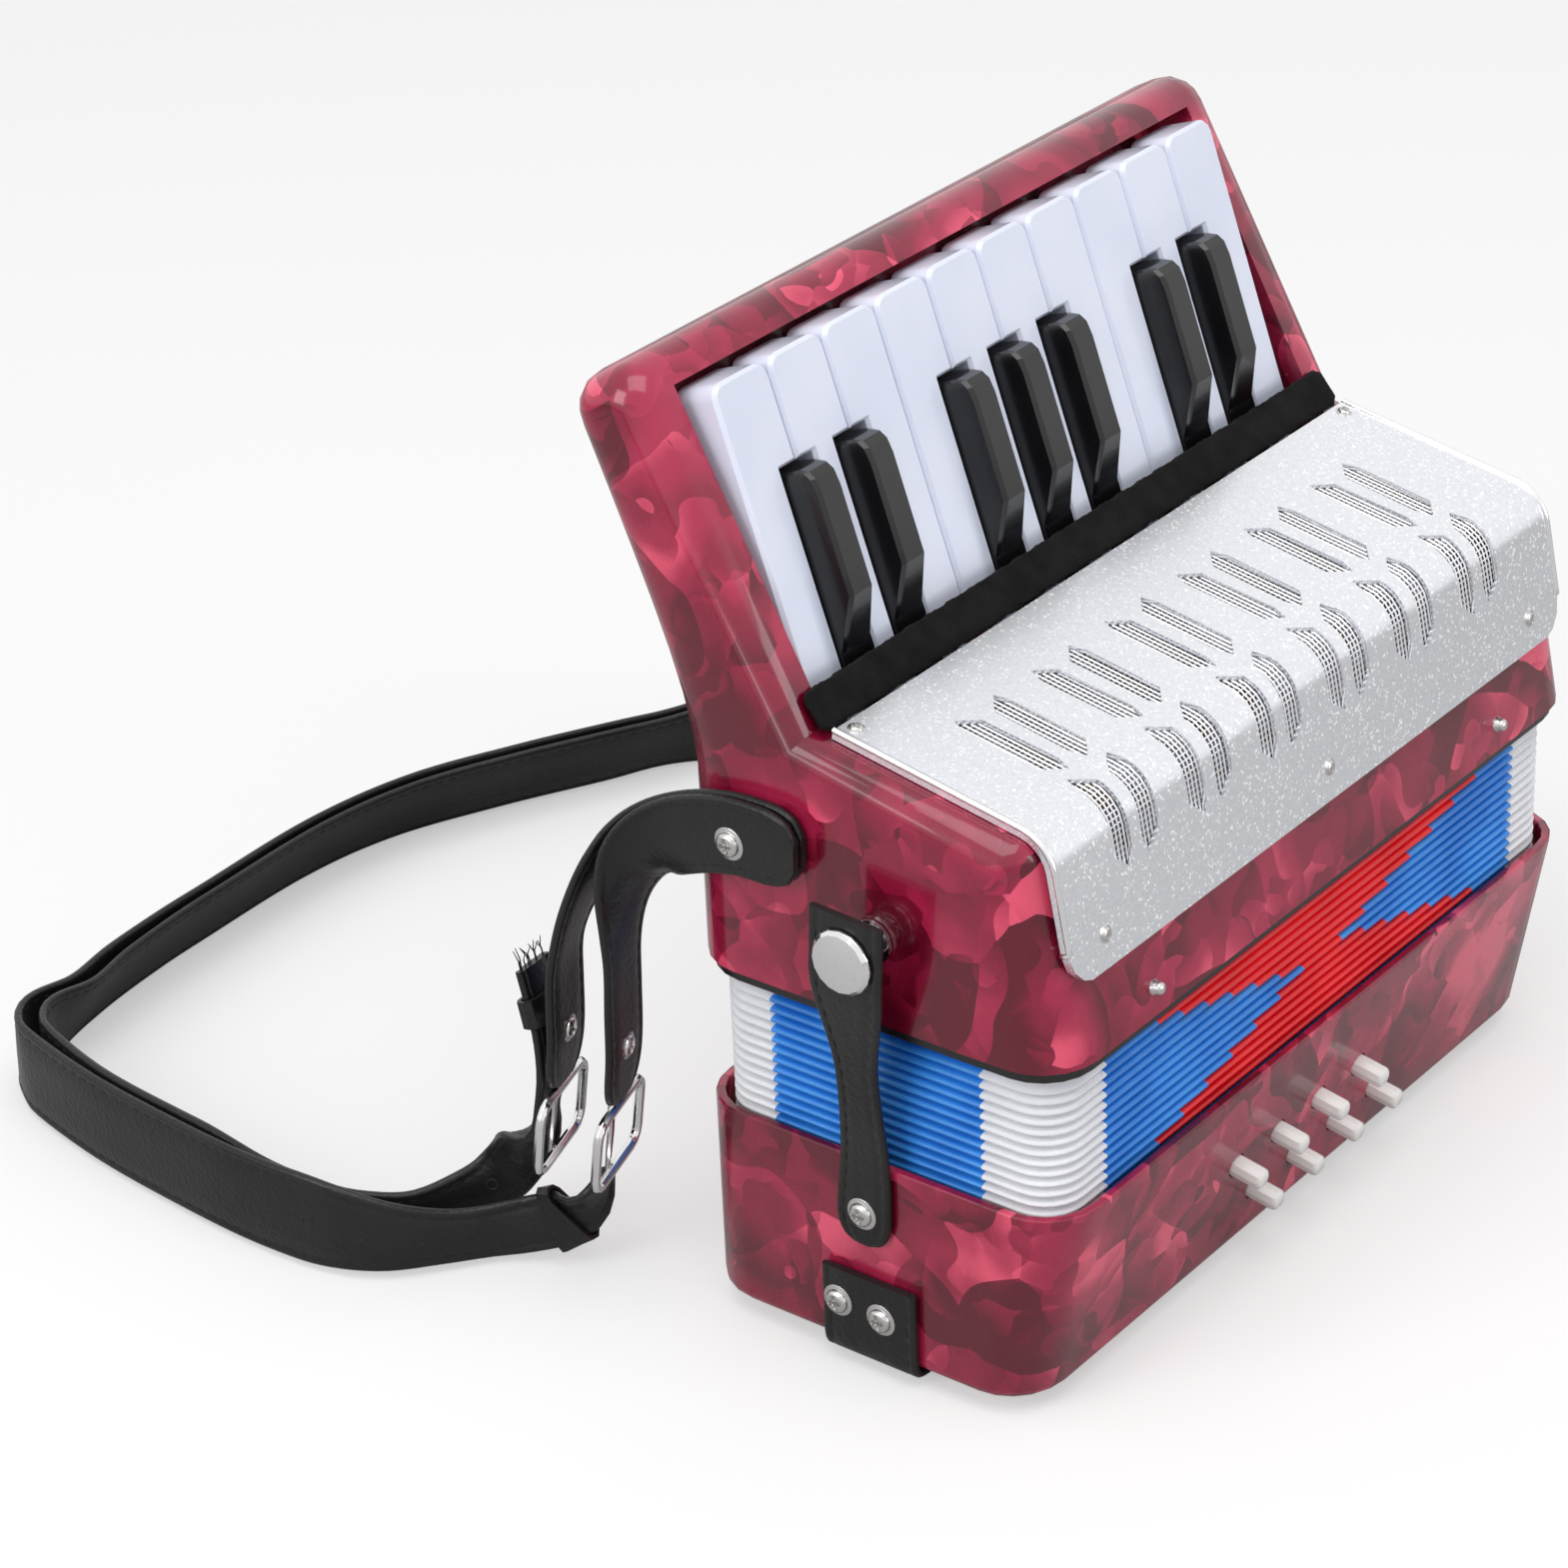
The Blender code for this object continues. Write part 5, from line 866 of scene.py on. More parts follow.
def bellows_strap(label, side):
    node = f"bellows_strap_{label}"
    low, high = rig.box(node)
    cap_low, cap_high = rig.box(f"snap_cap_{label}")
    hinge = next(j for j in frame["joints"] if j["child"] == f"strap_{label}")["pos_m"]
    near = HALF_W + GAP + LEATHER_T / 2
    far = max(abs(low.x), abs(high.x)) - LEATHER_T / 2
    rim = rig.box("bass_case")[1].z
    snap_y = (cap_low.y + cap_high.y) / 2
    snap_z = (cap_low.z + cap_high.z) / 2
    under = cap_low.z - 0.001
    walk = [(near, low.z), (near, hinge[2]), (near + 0.0004, rim + 0.004), ((near + far) / 2, (rim + under) / 2 + 0.004),
            (far - 0.0003, under), (far, snap_z), (far, high.z)]
    rows = []
    for x, z in walk:
        y = hinge[1] + (snap_y - hinge[1]) * (z - hinge[2]) / (snap_z - hinge[2])
        rows.append((side * x, y, z, 0.0, 1.0, 0.0))
    band = Band(rows, waist_half, STRAP_T, 90, 0.0)
    piece = add_piece(f"bellows_strap_{label}_leather", loft(band.rings()), f"strap_{label}", 60.0)
    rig.replaces(piece, node)
    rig.slot(piece, "leather")
    thread = add_piece(f"bellows_strap_{label}_stitches", stitch_shape(band, 0.004, band.length - 0.002, 0.0020), None)
    thread.parent = piece
    return piece, thread, (side * (near + LEATHER_T / 2), hinge[1], hinge[2])


hand_leather, hand_thread = hand_strap()
left_leather, left_thread, left_screw = bellows_strap("left", -1.0)
right_leather, right_thread, right_screw = bellows_strap("right", 1.0)
print("case straps:", hand_leather.name, left_leather.name, right_leather.name)

# %% [markdown]
# ## Grille trim and wire cloth
# The grille's edge is rolled into a bright bead, and behind its slots lies a fine woven wire cloth.
# A bump texture would look flat through the slots, so the cloth is two sets of real wires that follow
# the curve of the grille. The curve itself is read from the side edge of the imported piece.

# %% Grille trim and wire cloth
WIRE_PITCH = 0.00145
WIRE_R = 0.00028
WIRE_STEPS = 26
BEAD_R = 0.0008
GRILLE_CORNER_R = 0.0085


def side_curve(node):
    """Outer chain of (y, z) points along a bent sheet's side, from its back edge to its lower edge."""
    mesh = nodes[node].data
    far = max(v.co.x for v in mesh.vertices)
    spots = sorted({(round(v.co.y, 6), round(v.co.z, 6)) for v in mesh.vertices if v.co.x > far - 1e-4})
    top = max(spots, key=lambda p: p[0] + 0.2 * p[1])
    low = min(spots, key=lambda p: p[1] + 0.05 * p[0])
    chain = [top]
    while chain[-1] != low and len(chain) < 60:
        here = np.array(chain[-1])
        best = None
        for spot in spots:
            step = np.array(spot) - here
            if np.linalg.norm(step) < 1e-6 or spot in chain:
                continue
            if best is None or best[0] * step[1] - best[1] * step[0] < 0:
                best = step
                pick = spot
        chain.append(pick)
    return np.array(chain), far


def even_curve(chain, count):
    length = np.concatenate([[0.0], np.cumsum(np.linalg.norm(np.diff(chain, axis=0), axis=1))])
    wanted = np.linspace(0.0, length[-1], count)
    return np.stack([np.interp(wanted, length, chain[:, k]) for k in range(2)], axis=1), length[-1]


def wire_cloth():
    chain, half = side_curve("grille_mesh")
    _, length = even_curve(chain, 2)
    curve, _ = even_curve(chain, WIRE_STEPS)
    shapes = []
    half = half - 0.0006
    for x in np.arange(-half, half, WIRE_PITCH):
        shapes.append(tube([(x, y, z) for y, z in curve], WIRE_R, 4))
    rows, _ = even_curve(chain, int(length / WIRE_PITCH))
    for k in range(1, len(rows) - 1):
        along = unit(rows[k + 1] - rows[k - 1])
        inward = np.array([-along[1], along[0]]) * WIRE_R * 1.7
        y, z = rows[k] + inward * (1.0 if inward[1] < 0 or inward[0] > 0 else -1.0)
        shapes.append(tube([(-half, y, z), (0.0, y, z), (half, y, z)], WIRE_R, 4))
    piece = add_piece("grille_wire_cloth", join(shapes), body_of("grille_mesh"), 80.0)
    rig.replaces(piece, "grille_mesh")
    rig.slot(piece, "mesh")
    return piece


def grille_bead():
    chain, half = side_curve("treble_grille")
    curve, _ = even_curve(chain, 60)
    low_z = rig.box("treble_grille")[0].z
    keep = [p for p in curve if p[1] > low_z + GRILLE_CORNER_R or p[0] > -0.02]
    last = np.array(keep[-1])
    foot = np.array(chain[-1])
    right = [(half - BEAD_R * 0.4, y, z) for y, z in keep]
    for k in range(1, 9):
        angle = math.pi / 2 * k / 8
        share = math.sin(angle)
        y, z = last + (foot - last) * share
        right.append((half - BEAD_R * 0.4 - GRILLE_CORNER_R * (1.0 - math.cos(angle)), y, z))
    path = right + [(-x, y, z) for x, y, z in right[::-1]]
    piece = add_piece("grille_edge_bead", tube(path, BEAD_R, 10), body_of("treble_grille"), 80.0)
    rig.slot(piece, "silver")
    return piece


wires = wire_cloth()
bead = grille_bead()
print("wire cloth:", len(wires.data.polygons), "faces; bead:", len(bead.data.polygons))

# %% [markdown]
# ## Screws and pins
# Cross-head screws hold the straps and the grille, and pins lock the treble case to the bellows.
# A screw head could be a cylinder with a bump map, but close up the cross has to catch light,
# so each is a turned dome on a flange with the cross pressed into it.

# %% Screws and pins
STRAP_SCREW_R = 0.0031
STRAP_SCREW_H = 0.0018
GRILLE_SCREW_R = 0.0016
GRILLE_SCREW_H = 0.0009
TAB_SCREW = (0.0328, 0.1350)
HAND_SCREWS = ((0.0096, 0.0179), (-0.0029, 0.0171))
GRILLE_TOP_X = 0.1025
GRILLE_TOP_BACK = 0.0035
GRILLE_FRONT_X = (-0.093, 0.0, 0.093)
GRILLE_FRONT_RISE = 0.0082
PIN_X = 0.076
PIN_RISE = 0.0065


def surface_at(node, start, way):
    """Where a ray first meets a piece, and the direction the surface faces there."""
    found, place, facing, _ = nodes[node].ray_cast(Vector(start), Vector(way).normalized())
    return np.array(place), np.array(facing)


def case_screws():
    treble = []
    bass = []
    for side in (-1.0, 1.0):
        face = -HALF_W - 0.0046 - LEATHER_T / 2 if side < 0 else HALF_W + 0.0056 + SHOULDER_T / 2
        treble.append(screw_shape((face, TAB_SCREW[0] + MIDDLE_Y, TAB_SCREW[1]), (side, 0, 0),
                                  STRAP_SCREW_R, STRAP_SCREW_H))
        hand_face = side * (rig.box("hand_strap")[1].x)
        for y, z in HAND_SCREWS:
            bass.append(screw_shape((hand_face, y + MIDDLE_Y, z), (side, 0, 0), STRAP_SCREW_R, STRAP_SCREW_H))
    for place in (left_screw, right_screw):
        bass.append(screw_shape(place, (math.copysign(1.0, place[0]), 0, 0), STRAP_SCREW_R, STRAP_SCREW_H))
    return treble, bass


def grille_screws():
    shapes = []
    low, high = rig.box("treble_grille")
    for x in (-GRILLE_TOP_X, GRILLE_TOP_X):
        place, facing = surface_at("treble_grille", (x, high.y - GRILLE_TOP_BACK, high.z + 0.02), (0, 0, -1))
        shapes.append(screw_shape(place, facing, GRILLE_SCREW_R, GRILLE_SCREW_H))
    for x in GRILLE_FRONT_X:
        place, facing = surface_at("treble_grille", (x, low.y - 0.05, low.z + GRILLE_FRONT_RISE), (0, 1, 0))
        shapes.append(screw_shape(place, facing, GRILLE_SCREW_R, GRILLE_SCREW_H))
    return shapes


def case_pins():
    shapes = []
    low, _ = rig.box("treble_case")
    for x in (-PIN_X, PIN_X):
        place, facing = surface_at("treble_case", (x, low.y - 0.05, low.z + PIN_RISE), (0, 1, 0))
        profile = [(0.0021, -0.0002), (0.0021, 0.0004), (0.0016, 0.0010), (0.0016, 0.0018), (0.0012, 0.0024),
                   (0.0005, 0.0027)]
        shapes.append(turned(profile, place, facing, 18))
    return shapes


treble_screws, bass_screws = case_screws()
tab_screws = add_piece("strap_screws_treble", join(treble_screws), "treble")
hand_screws = add_piece("strap_screws_bass", join(bass_screws), "bass")
cover_screws = add_piece("grille_screws", join(grille_screws()), "treble")
lock_pins = add_piece("case_pins", join(case_pins()), "treble")
for piece in (tab_screws, hand_screws, cover_screws, lock_pins):
    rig.slot(piece, "steel")
print("screws:", len(treble_screws) + len(bass_screws), "on straps")

# %% [markdown]
# ## Node tools
# Materials are node trees. Writing each node in four lines hides the idea, so three small helpers place
# a node with its inputs, do sums and mix colours. Inputs take either a number or another node's socket.

# %% Node tools
def put(tree, kind, inputs=None, **settings):
    node = tree.nodes.new(kind)
    for key, value in settings.items():
        setattr(node, key, value)
    for key, value in (inputs or {}).items():
        if isinstance(value, bpy.types.NodeSocket):
            tree.links.new(value, node.inputs[key])
        else:
            node.inputs[key].default_value = value
    return node


def calc(tree, operation, a, b=0.0, clamp=False):
    return put(tree, "ShaderNodeMath", {0: a, 1: b}, operation=operation, use_clamp=clamp).outputs[0]


def vector(tree, operation, a, b=(0.0, 0.0, 0.0)):
    return put(tree, "ShaderNodeVectorMath", {0: a, 1: b}, operation=operation)


def ramp(tree, value, stops, smooth=True):
    node = put(tree, "ShaderNodeValToRGB", {0: value})
    elements = node.color_ramp.elements
    node.color_ramp.interpolation = "EASE" if smooth else "LINEAR"
    while len(elements) < len(stops):
        elements.new(0.5)
    for element, (place, color) in zip(elements, stops):
        element.position = place
        element.color = (*color, 1.0)
    return node.outputs["Color"]


def new_group(name, inputs, outputs):
    """Empty shader group; gives its tree, its inputs' sockets and a function that sets an output."""
    group = bpy.data.node_groups.new(name, "ShaderNodeTree")
    for label, kind, value in inputs:
        socket = group.interface.new_socket(label, in_out="INPUT", socket_type=kind)
        if value is not None:
            socket.default_value = value
    for label, kind in outputs:
        group.interface.new_socket(label, in_out="OUTPUT", socket_type=kind)
    start = group.nodes.new("NodeGroupInput")
    end = group.nodes.new("NodeGroupOutput")

    def give(label, socket):
        group.links.new(socket, end.inputs[label])

    return group, start.outputs, give


FLOAT = "NodeSocketFloat"
VECTOR = "NodeSocketVector"
print("node tools ready")

# %% [markdown]
# ## Shared effects
# Several finishes share the same effects: patches of pearl, a fine grain, sparkling flakes, scuffs and
# wood rings. Each is a shader node group, built once and placed with its own values, which keeps one
# finish in step with the next. Groups give out only values that vary over the surface.

# %% Shared effects
def patch_layer(tree, place, scale):
    """Curved cells, each shaded across in its own direction."""
    noise = put(tree, "ShaderNodeTexNoise", {"Vector": place, "Scale": calc(tree, "MULTIPLY", scale, 0.8), "Detail": 1.0})
    bend = vector(tree, "SUBTRACT", noise.outputs["Color"], (0.5, 0.5, 0.5)).outputs[0]
    bend = put(tree, "ShaderNodeVectorMath", {0: bend, "Scale": calc(tree, "DIVIDE", 2.2, scale)}, operation="SCALE")
    warped = vector(tree, "ADD", place, bend.outputs[0]).outputs[0]
    cells = put(tree, "ShaderNodeTexVoronoi", {"Vector": warped, "Scale": scale})
    arm = vector(tree, "SUBTRACT", warped, cells.outputs["Position"]).outputs[0]
    way = vector(tree, "MULTIPLY", cells.outputs["Color"], (2.0, 2.0, 2.0)).outputs[0]
    way = vector(tree, "SUBTRACT", way, (1.0, 1.0, 1.0)).outputs[0]
    slope = vector(tree, "DOT_PRODUCT", arm, way).outputs["Value"]
    shade = calc(tree, "MULTIPLY", slope, calc(tree, "MULTIPLY", scale, 0.95))
    tone = put(tree, "ShaderNodeSeparateColor", {0: cells.outputs["Color"]}).outputs["Green"]
    tone = calc(tree, "MULTIPLY", calc(tree, "SUBTRACT", tone, 0.5), 0.16)
    return calc(tree, "ADD", calc(tree, "ADD", shade, tone), 0.5)


def pearl_group():
    group, given, give = new_group("PearlPatches", [("Vector", VECTOR, None), ("Scale", FLOAT, 50.0)],
                                   [("Shade", FLOAT), ("Height", FLOAT)])
    wide = patch_layer(group, given["Vector"], given["Scale"])
    fine = patch_layer(group, given["Vector"], calc(group, "MULTIPLY", given["Scale"], 2.3))
    dust = put(group, "ShaderNodeTexNoise", {"Vector": given["Vector"], "Detail": 4.0,
                                             "Scale": calc(group, "MULTIPLY", given["Scale"], 9.0)}).outputs[0]
    both = calc(group, "ADD", calc(group, "MULTIPLY", wide, 0.58), calc(group, "MULTIPLY", fine, 0.34))
    shade = calc(group, "ADD", both, calc(group, "MULTIPLY", dust, 0.08), True)
    give("Shade", shade)
    give("Height", both)
    return group


def grain_group():
    group, given, give = new_group("FineGrain", [("Vector", VECTOR, None), ("Scale", FLOAT, 900.0)],
                                   [("Height", FLOAT), ("Cloud", FLOAT)])
    pores = put(group, "ShaderNodeTexVoronoi", {"Vector": given["Vector"], "Scale": given["Scale"]}).outputs["Distance"]
    fine = put(group, "ShaderNodeTexNoise", {"Vector": given["Vector"], "Detail": 5.0,
                                             "Scale": calc(group, "MULTIPLY", given["Scale"], 0.6)}).outputs[0]
    cloud = put(group, "ShaderNodeTexNoise", {"Vector": given["Vector"], "Detail": 3.0,
                                              "Scale": calc(group, "MULTIPLY", given["Scale"], 0.05)}).outputs[0]
    give("Height", calc(group, "ADD", calc(group, "MULTIPLY", pores, 0.6), calc(group, "MULTIPLY", fine, 0.5)))
    give("Cloud", cloud)
    return group


def flake_group():
    group, given, give = new_group("MetalFlakes", [("Vector", VECTOR, None), ("Scale", FLOAT, 1400.0),
                                                   ("Share", FLOAT, 0.16)], [("Mask", FLOAT), ("Tone", FLOAT)])
    cells = put(group, "ShaderNodeTexVoronoi", {"Vector": given["Vector"], "Scale": given["Scale"]})
    tone = put(group, "ShaderNodeSeparateColor", {0: cells.outputs["Color"]})
    give("Mask", calc(group, "LESS_THAN", tone.outputs["Red"], given["Share"]))
    give("Tone", tone.outputs["Green"])
    return group


def scuff_group():
    group, given, give = new_group("Scuffs", [("Vector", VECTOR, None), ("Scale", FLOAT, 140.0)], [("Mask", FLOAT)])
    long_way = vector(group, "MULTIPLY", given["Vector"], (1.0, 9.0, 2.5)).outputs[0]
    lines = put(group, "ShaderNodeTexNoise", {"Vector": long_way, "Scale": given["Scale"], "Detail": 4.0}).outputs[0]
    patches = put(group, "ShaderNodeTexNoise", {"Vector": given["Vector"], "Detail": 2.0,
                                                "Scale": calc(group, "MULTIPLY", given["Scale"], 0.25)}).outputs[0]
    worn = calc(group, "MULTIPLY", calc(group, "SUBTRACT", lines, 0.56), 7.0, True)
    give("Mask", calc(group, "MULTIPLY", worn, patches))
    return group


def wood_group():
    group, given, give = new_group("WoodRings", [("Vector", VECTOR, None), ("Scale", FLOAT, 120.0)],
                                   [("Shade", FLOAT), ("Height", FLOAT)])
    long_way = vector(group, "MULTIPLY", given["Vector"], (0.12, 1.0, 1.0)).outputs[0]
    rings = put(group, "ShaderNodeTexWave", {"Vector": long_way, "Scale": given["Scale"], "Distortion": 5.0,
                                             "Detail": 3.0, "Detail Scale": 1.2}, bands_direction="DIAGONAL").outputs[1]
    fibre = put(group, "ShaderNodeTexNoise", {"Vector": long_way, "Detail": 4.0,
                                              "Scale": calc(group, "MULTIPLY", given["Scale"], 6.0)}).outputs[0]
    give("Shade", calc(group, "ADD", calc(group, "MULTIPLY", rings, 0.6), calc(group, "MULTIPLY", fibre, 0.4)))
    give("Height", fibre)
    return group


GROUPS = {"pearl": pearl_group(), "grain": grain_group(), "flakes": flake_group(), "scuffs": scuff_group(),
          "wood": wood_group()}
print("effects:", ", ".join(GROUPS))

# %% [markdown]
# ## Finishes
# Every finish starts from one Principled shader whose plain numbers sit on its own sockets.
# What varies over the surface comes from the shared effects: object coordinates are used, because the
# pieces are in metres in one frame, so a pattern has its real size and stays with a moving piece.

# %% Finishes: tools
def start_finish(name, roughness, metallic=0.0, **plain):
    material = bpy.data.materials.new(name)
    material.use_nodes = True
    tree = material.node_tree
    shader = tree.nodes["Principled BSDF"]
    shader.inputs["Roughness"].default_value = roughness
    shader.inputs["Metallic"].default_value = metallic
    for label, value in plain.items():
        shader.inputs[label.replace("_", " ").title().replace("Ior", "IOR")].default_value = value
    place = put(tree, "ShaderNodeTexCoord").outputs["Object"]
    return material, tree, shader, place


def effect(tree, name, place, **values):
    inputs = {"Vector": place}
    inputs.update({label.title(): value for label, value in values.items()})
    node = tree.nodes.new("ShaderNodeGroup")
    node.node_tree = GROUPS[name]
    for label, value in inputs.items():
        if isinstance(value, bpy.types.NodeSocket):
            tree.links.new(value, node.inputs[label])
        else:
            node.inputs[label].default_value = value
    return node.outputs


def feed(tree, shader, label, socket):
    tree.links.new(socket, shader.inputs[label])


def add_bump(tree, shader, height, strength, distance):
    bump = put(tree, "ShaderNodeBump", {"Height": height, "Strength": strength, "Distance": distance})
    feed(tree, shader, "Normal", bump.outputs["Normal"])


def spread(tree, value, low, high):
    """A value from 0 to 1 moved to the range from low to high."""
    return put(tree, "ShaderNodeMapRange", {"Value": value, "To Min": low, "To Max": high}).outputs["Result"]


print("finish tools ready")

# %% [markdown]
# ## Finish: red pearloid
# The cases are covered in celluloid with pearl pigment: curved patches that each turn light and dark,
# under a clear polish. The patches drive the colour, and a very low bump tips each patch a little so that
# the highlights break up as they do in the real film. The clear polish is the shader's coat.

# %% Finish: red pearloid
def pearl_red():
    material, tree, shader, place = start_finish("pearl_red", 0.30, coat_weight=0.6, coat_roughness=0.05,
                                                 specular_ior_level=0.3)
    patches = effect(tree, "pearl", place, scale=30.0)
    color = ramp(tree, patches["Shade"], [(0.16, (0.12, 0.0015, 0.014)), (0.42, (0.25, 0.006, 0.034)),
                                          (0.60, (0.38, 0.014, 0.060)), (0.90, (0.80, 0.085, 0.165))])
    feed(tree, shader, "Base Color", color)
    scuffs = effect(tree, "scuffs", place, scale=120.0)["Mask"]
    feed(tree, shader, "Roughness", spread(tree, scuffs, 0.24, 0.38))
    add_bump(tree, shader, patches["Height"], 0.10, 0.0006)
    return material


PEARL = pearl_red()
print("made", PEARL.name)

# %% [markdown]
# ## Finishes: metal
# The grille is covered in silver glitter film: a pale metal full of tiny flakes that each tip their own way.
# Screws, studs and buckles are nickel plated, with fine scuffs. A flat grey would look like paint,
# so the flakes change the tone and the roughness from cell to cell, and a share of them is mixed
# towards pure white in the base colour: painted glints, standing for the light that the flakes catch.

# %% Finishes: metal
def silver_glitter():
    material, tree, shader, place = start_finish("silver_glitter", 0.30, 0.86, coat_weight=0.15)
    flakes = effect(tree, "flakes", place, scale=1800.0, share=0.08)
    silver = ramp(tree, flakes["Tone"], [(0.0, (0.78, 0.795, 0.84)), (1.0, (0.85, 0.865, 0.90))])
    # Painted glints: a share of the real flakes is mixed towards pure white in the base colour, in place of the sparkle
    # of light off them.
    painted_glint = put(tree, "ShaderNodeMix", {"Factor": calc(tree, "MULTIPLY", flakes["Mask"], 0.7), "A": silver, "B": (1.0, 1.0, 1.0, 1.0)},
                data_type="RGBA").outputs["Result"]
    feed(tree, shader, "Base Color", painted_glint)
    feed(tree, shader, "Roughness", spread(tree, flakes["Mask"], 0.27, 0.50))
    add_bump(tree, shader, flakes["Mask"], 0.06, 0.0002)
    return material


def plated(name, color, roughness, worn):
    material, tree, shader, place = start_finish(name, roughness, 1.0)
    scuffs = effect(tree, "scuffs", place, scale=260.0)["Mask"]
    low = tuple(c * 0.72 for c in color)
    feed(tree, shader, "Base Color", ramp(tree, scuffs, [(0.0, color), (1.0, low)]))
    feed(tree, shader, "Roughness", spread(tree, scuffs, roughness, worn))
    return material


SILVER = silver_glitter()
CHROME = plated("chrome", (0.82, 0.82, 0.83), 0.12, 0.34)
STEEL = plated("steel", (0.62, 0.61, 0.60), 0.22, 0.45)
WIRE = plated("wire", (0.93, 0.93, 0.95), 0.34, 0.5)
BRIGHT = plated("bright_edge", (0.88, 0.88, 0.90), 0.18, 0.36)
print("metals:", SILVER.name, CHROME.name, STEEL.name, WIRE.name, BRIGHT.name)

# %% [markdown]
# ## Finishes: keys, plastic, rubber and wood
# White keys are celluloid, a bluish white that is a little worn to a shine, black keys and the frame band
# are dark plastic, feet are rubber, and the inside is bare wood. They share one maker:
# a clouded colour from the grain effect, scuffed roughness and a grain bump, with different numbers.

# %% Finishes: keys, plastic, rubber and wood
def plain_finish(name, dark, light, roughness, scale, bump, coat=0.0, subsurface=0.0):
    material, tree, shader, place = start_finish(name, roughness, coat_weight=coat, subsurface_weight=subsurface)
    shader.inputs["Subsurface Scale"].default_value = 0.001
    grain = effect(tree, "grain", place, scale=scale)
    feed(tree, shader, "Base Color", ramp(tree, grain["Cloud"], [(0.3, dark), (0.7, light)]))
    scuffs = effect(tree, "scuffs", place, scale=180.0)["Mask"]
    feed(tree, shader, "Roughness", spread(tree, scuffs, roughness, min(roughness + 0.10, 1.0)))
    add_bump(tree, shader, grain["Height"], bump, 0.0002)
    return material


def wood():
    material, tree, shader, place = start_finish("wood", 0.55)
    rings = effect(tree, "wood", place, scale=120.0)
    feed(tree, shader, "Base Color", ramp(tree, rings["Shade"], [(0.25, (0.34, 0.19, 0.085)), (0.55, (0.52, 0.33, 0.17)),
                                                                 (0.80, (0.64, 0.44, 0.25))]))
    add_bump(tree, shader, rings["Height"], 0.25, 0.0003)
    return material


IVORY = plain_finish("ivory_keys", (0.71, 0.75, 0.89), (0.76, 0.79, 0.92), 0.20, 700.0, 0.02, 0.3, 0.05)
EBONY = plain_finish("ebony_keys", (0.004, 0.004, 0.005), (0.007, 0.007, 0.008), 0.20, 800.0, 0.03, 0.2)
PLASTIC = plain_finish("black_plastic", (0.006, 0.006, 0.007), (0.010, 0.010, 0.010), 0.34, 900.0, 0.12)
BUTTON_WHITE = plain_finish("white_plastic", (0.78, 0.77, 0.75), (0.86, 0.85, 0.83), 0.24, 700.0, 0.04, 0.3, 0.05)
RUBBER = plain_finish("rubber", (0.012, 0.012, 0.012), (0.024, 0.023, 0.022), 0.72, 1200.0, 0.4)
WOOD = wood()
print("made", IVORY.name, EBONY.name, PLASTIC.name, BUTTON_WHITE.name, RUBBER.name, WOOD.name)

# %% [markdown]
# ## Finishes: leather, felt and bellows cloth
# Leather and cloth scatter light, so they are rough, and felt has a soft sheen at grazing angles.
# The bellows card is covered in glossy coloured paper that rubs pale along the crests; the cloud and scuff
# effects give it only an even, all-over wear. The leather's grain comes from the pore pattern.

# %% Finishes: leather, felt and bellows cloth
def soft_finish(name, dark, light, roughness, scale, bump, sheen):
    material = plain_finish(name, dark, light, roughness, scale, bump)
    shader = material.node_tree.nodes["Principled BSDF"]
    shader.inputs["Sheen Weight"].default_value = sheen
    shader.inputs["Sheen Roughness"].default_value = 0.5
    shader.inputs["Specular IOR Level"].default_value = 0.35 if roughness < 0.9 else 0.1
    return material


LEATHER = soft_finish("leather", (0.006, 0.006, 0.006), (0.014, 0.0135, 0.013), 0.32, 700.0, 0.80, 0.03)
THREAD = soft_finish("thread", (0.006, 0.006, 0.006), (0.016, 0.015, 0.015), 0.65, 3500.0, 0.6, 0.05)
FELT = soft_finish("black_felt", (0.003, 0.003, 0.003), (0.008, 0.008, 0.008), 0.95, 2600.0, 0.9, 0.06)
CLOTH_BLUE = plain_finish("bellows_blue", (0.018, 0.20, 0.68), (0.040, 0.30, 0.84), 0.34, 900.0, 0.25, 0.15)
CLOTH_RED = plain_finish("bellows_red", (0.76, 0.004, 0.010), (0.88, 0.012, 0.022), 0.36, 900.0, 0.25, 0.15)
CLOTH_WHITE = plain_finish("bellows_white", (0.82, 0.83, 0.87), (0.88, 0.89, 0.92), 0.60, 1100.0, 0.35)
print("soft finishes:", LEATHER.name, THREAD.name, FELT.name, CLOTH_BLUE.name, CLOTH_RED.name, CLOTH_WHITE.name)

# %% [markdown]
# ## Edges of the imported pieces
# The imported meshes come as loose triangles with flat shading. A small geometry-nodes modifier welds them
# and smooths all but the sharp edges, and a Bevel modifier then rounds those by half a millimetre.
# Modifiers leave the imported mesh itself untouched, so its size and place stay as they were.

# %% Edges of the imported pieces
WELD = 0.00001
SHARP = 32.0
KEY_SHARP = 12.0


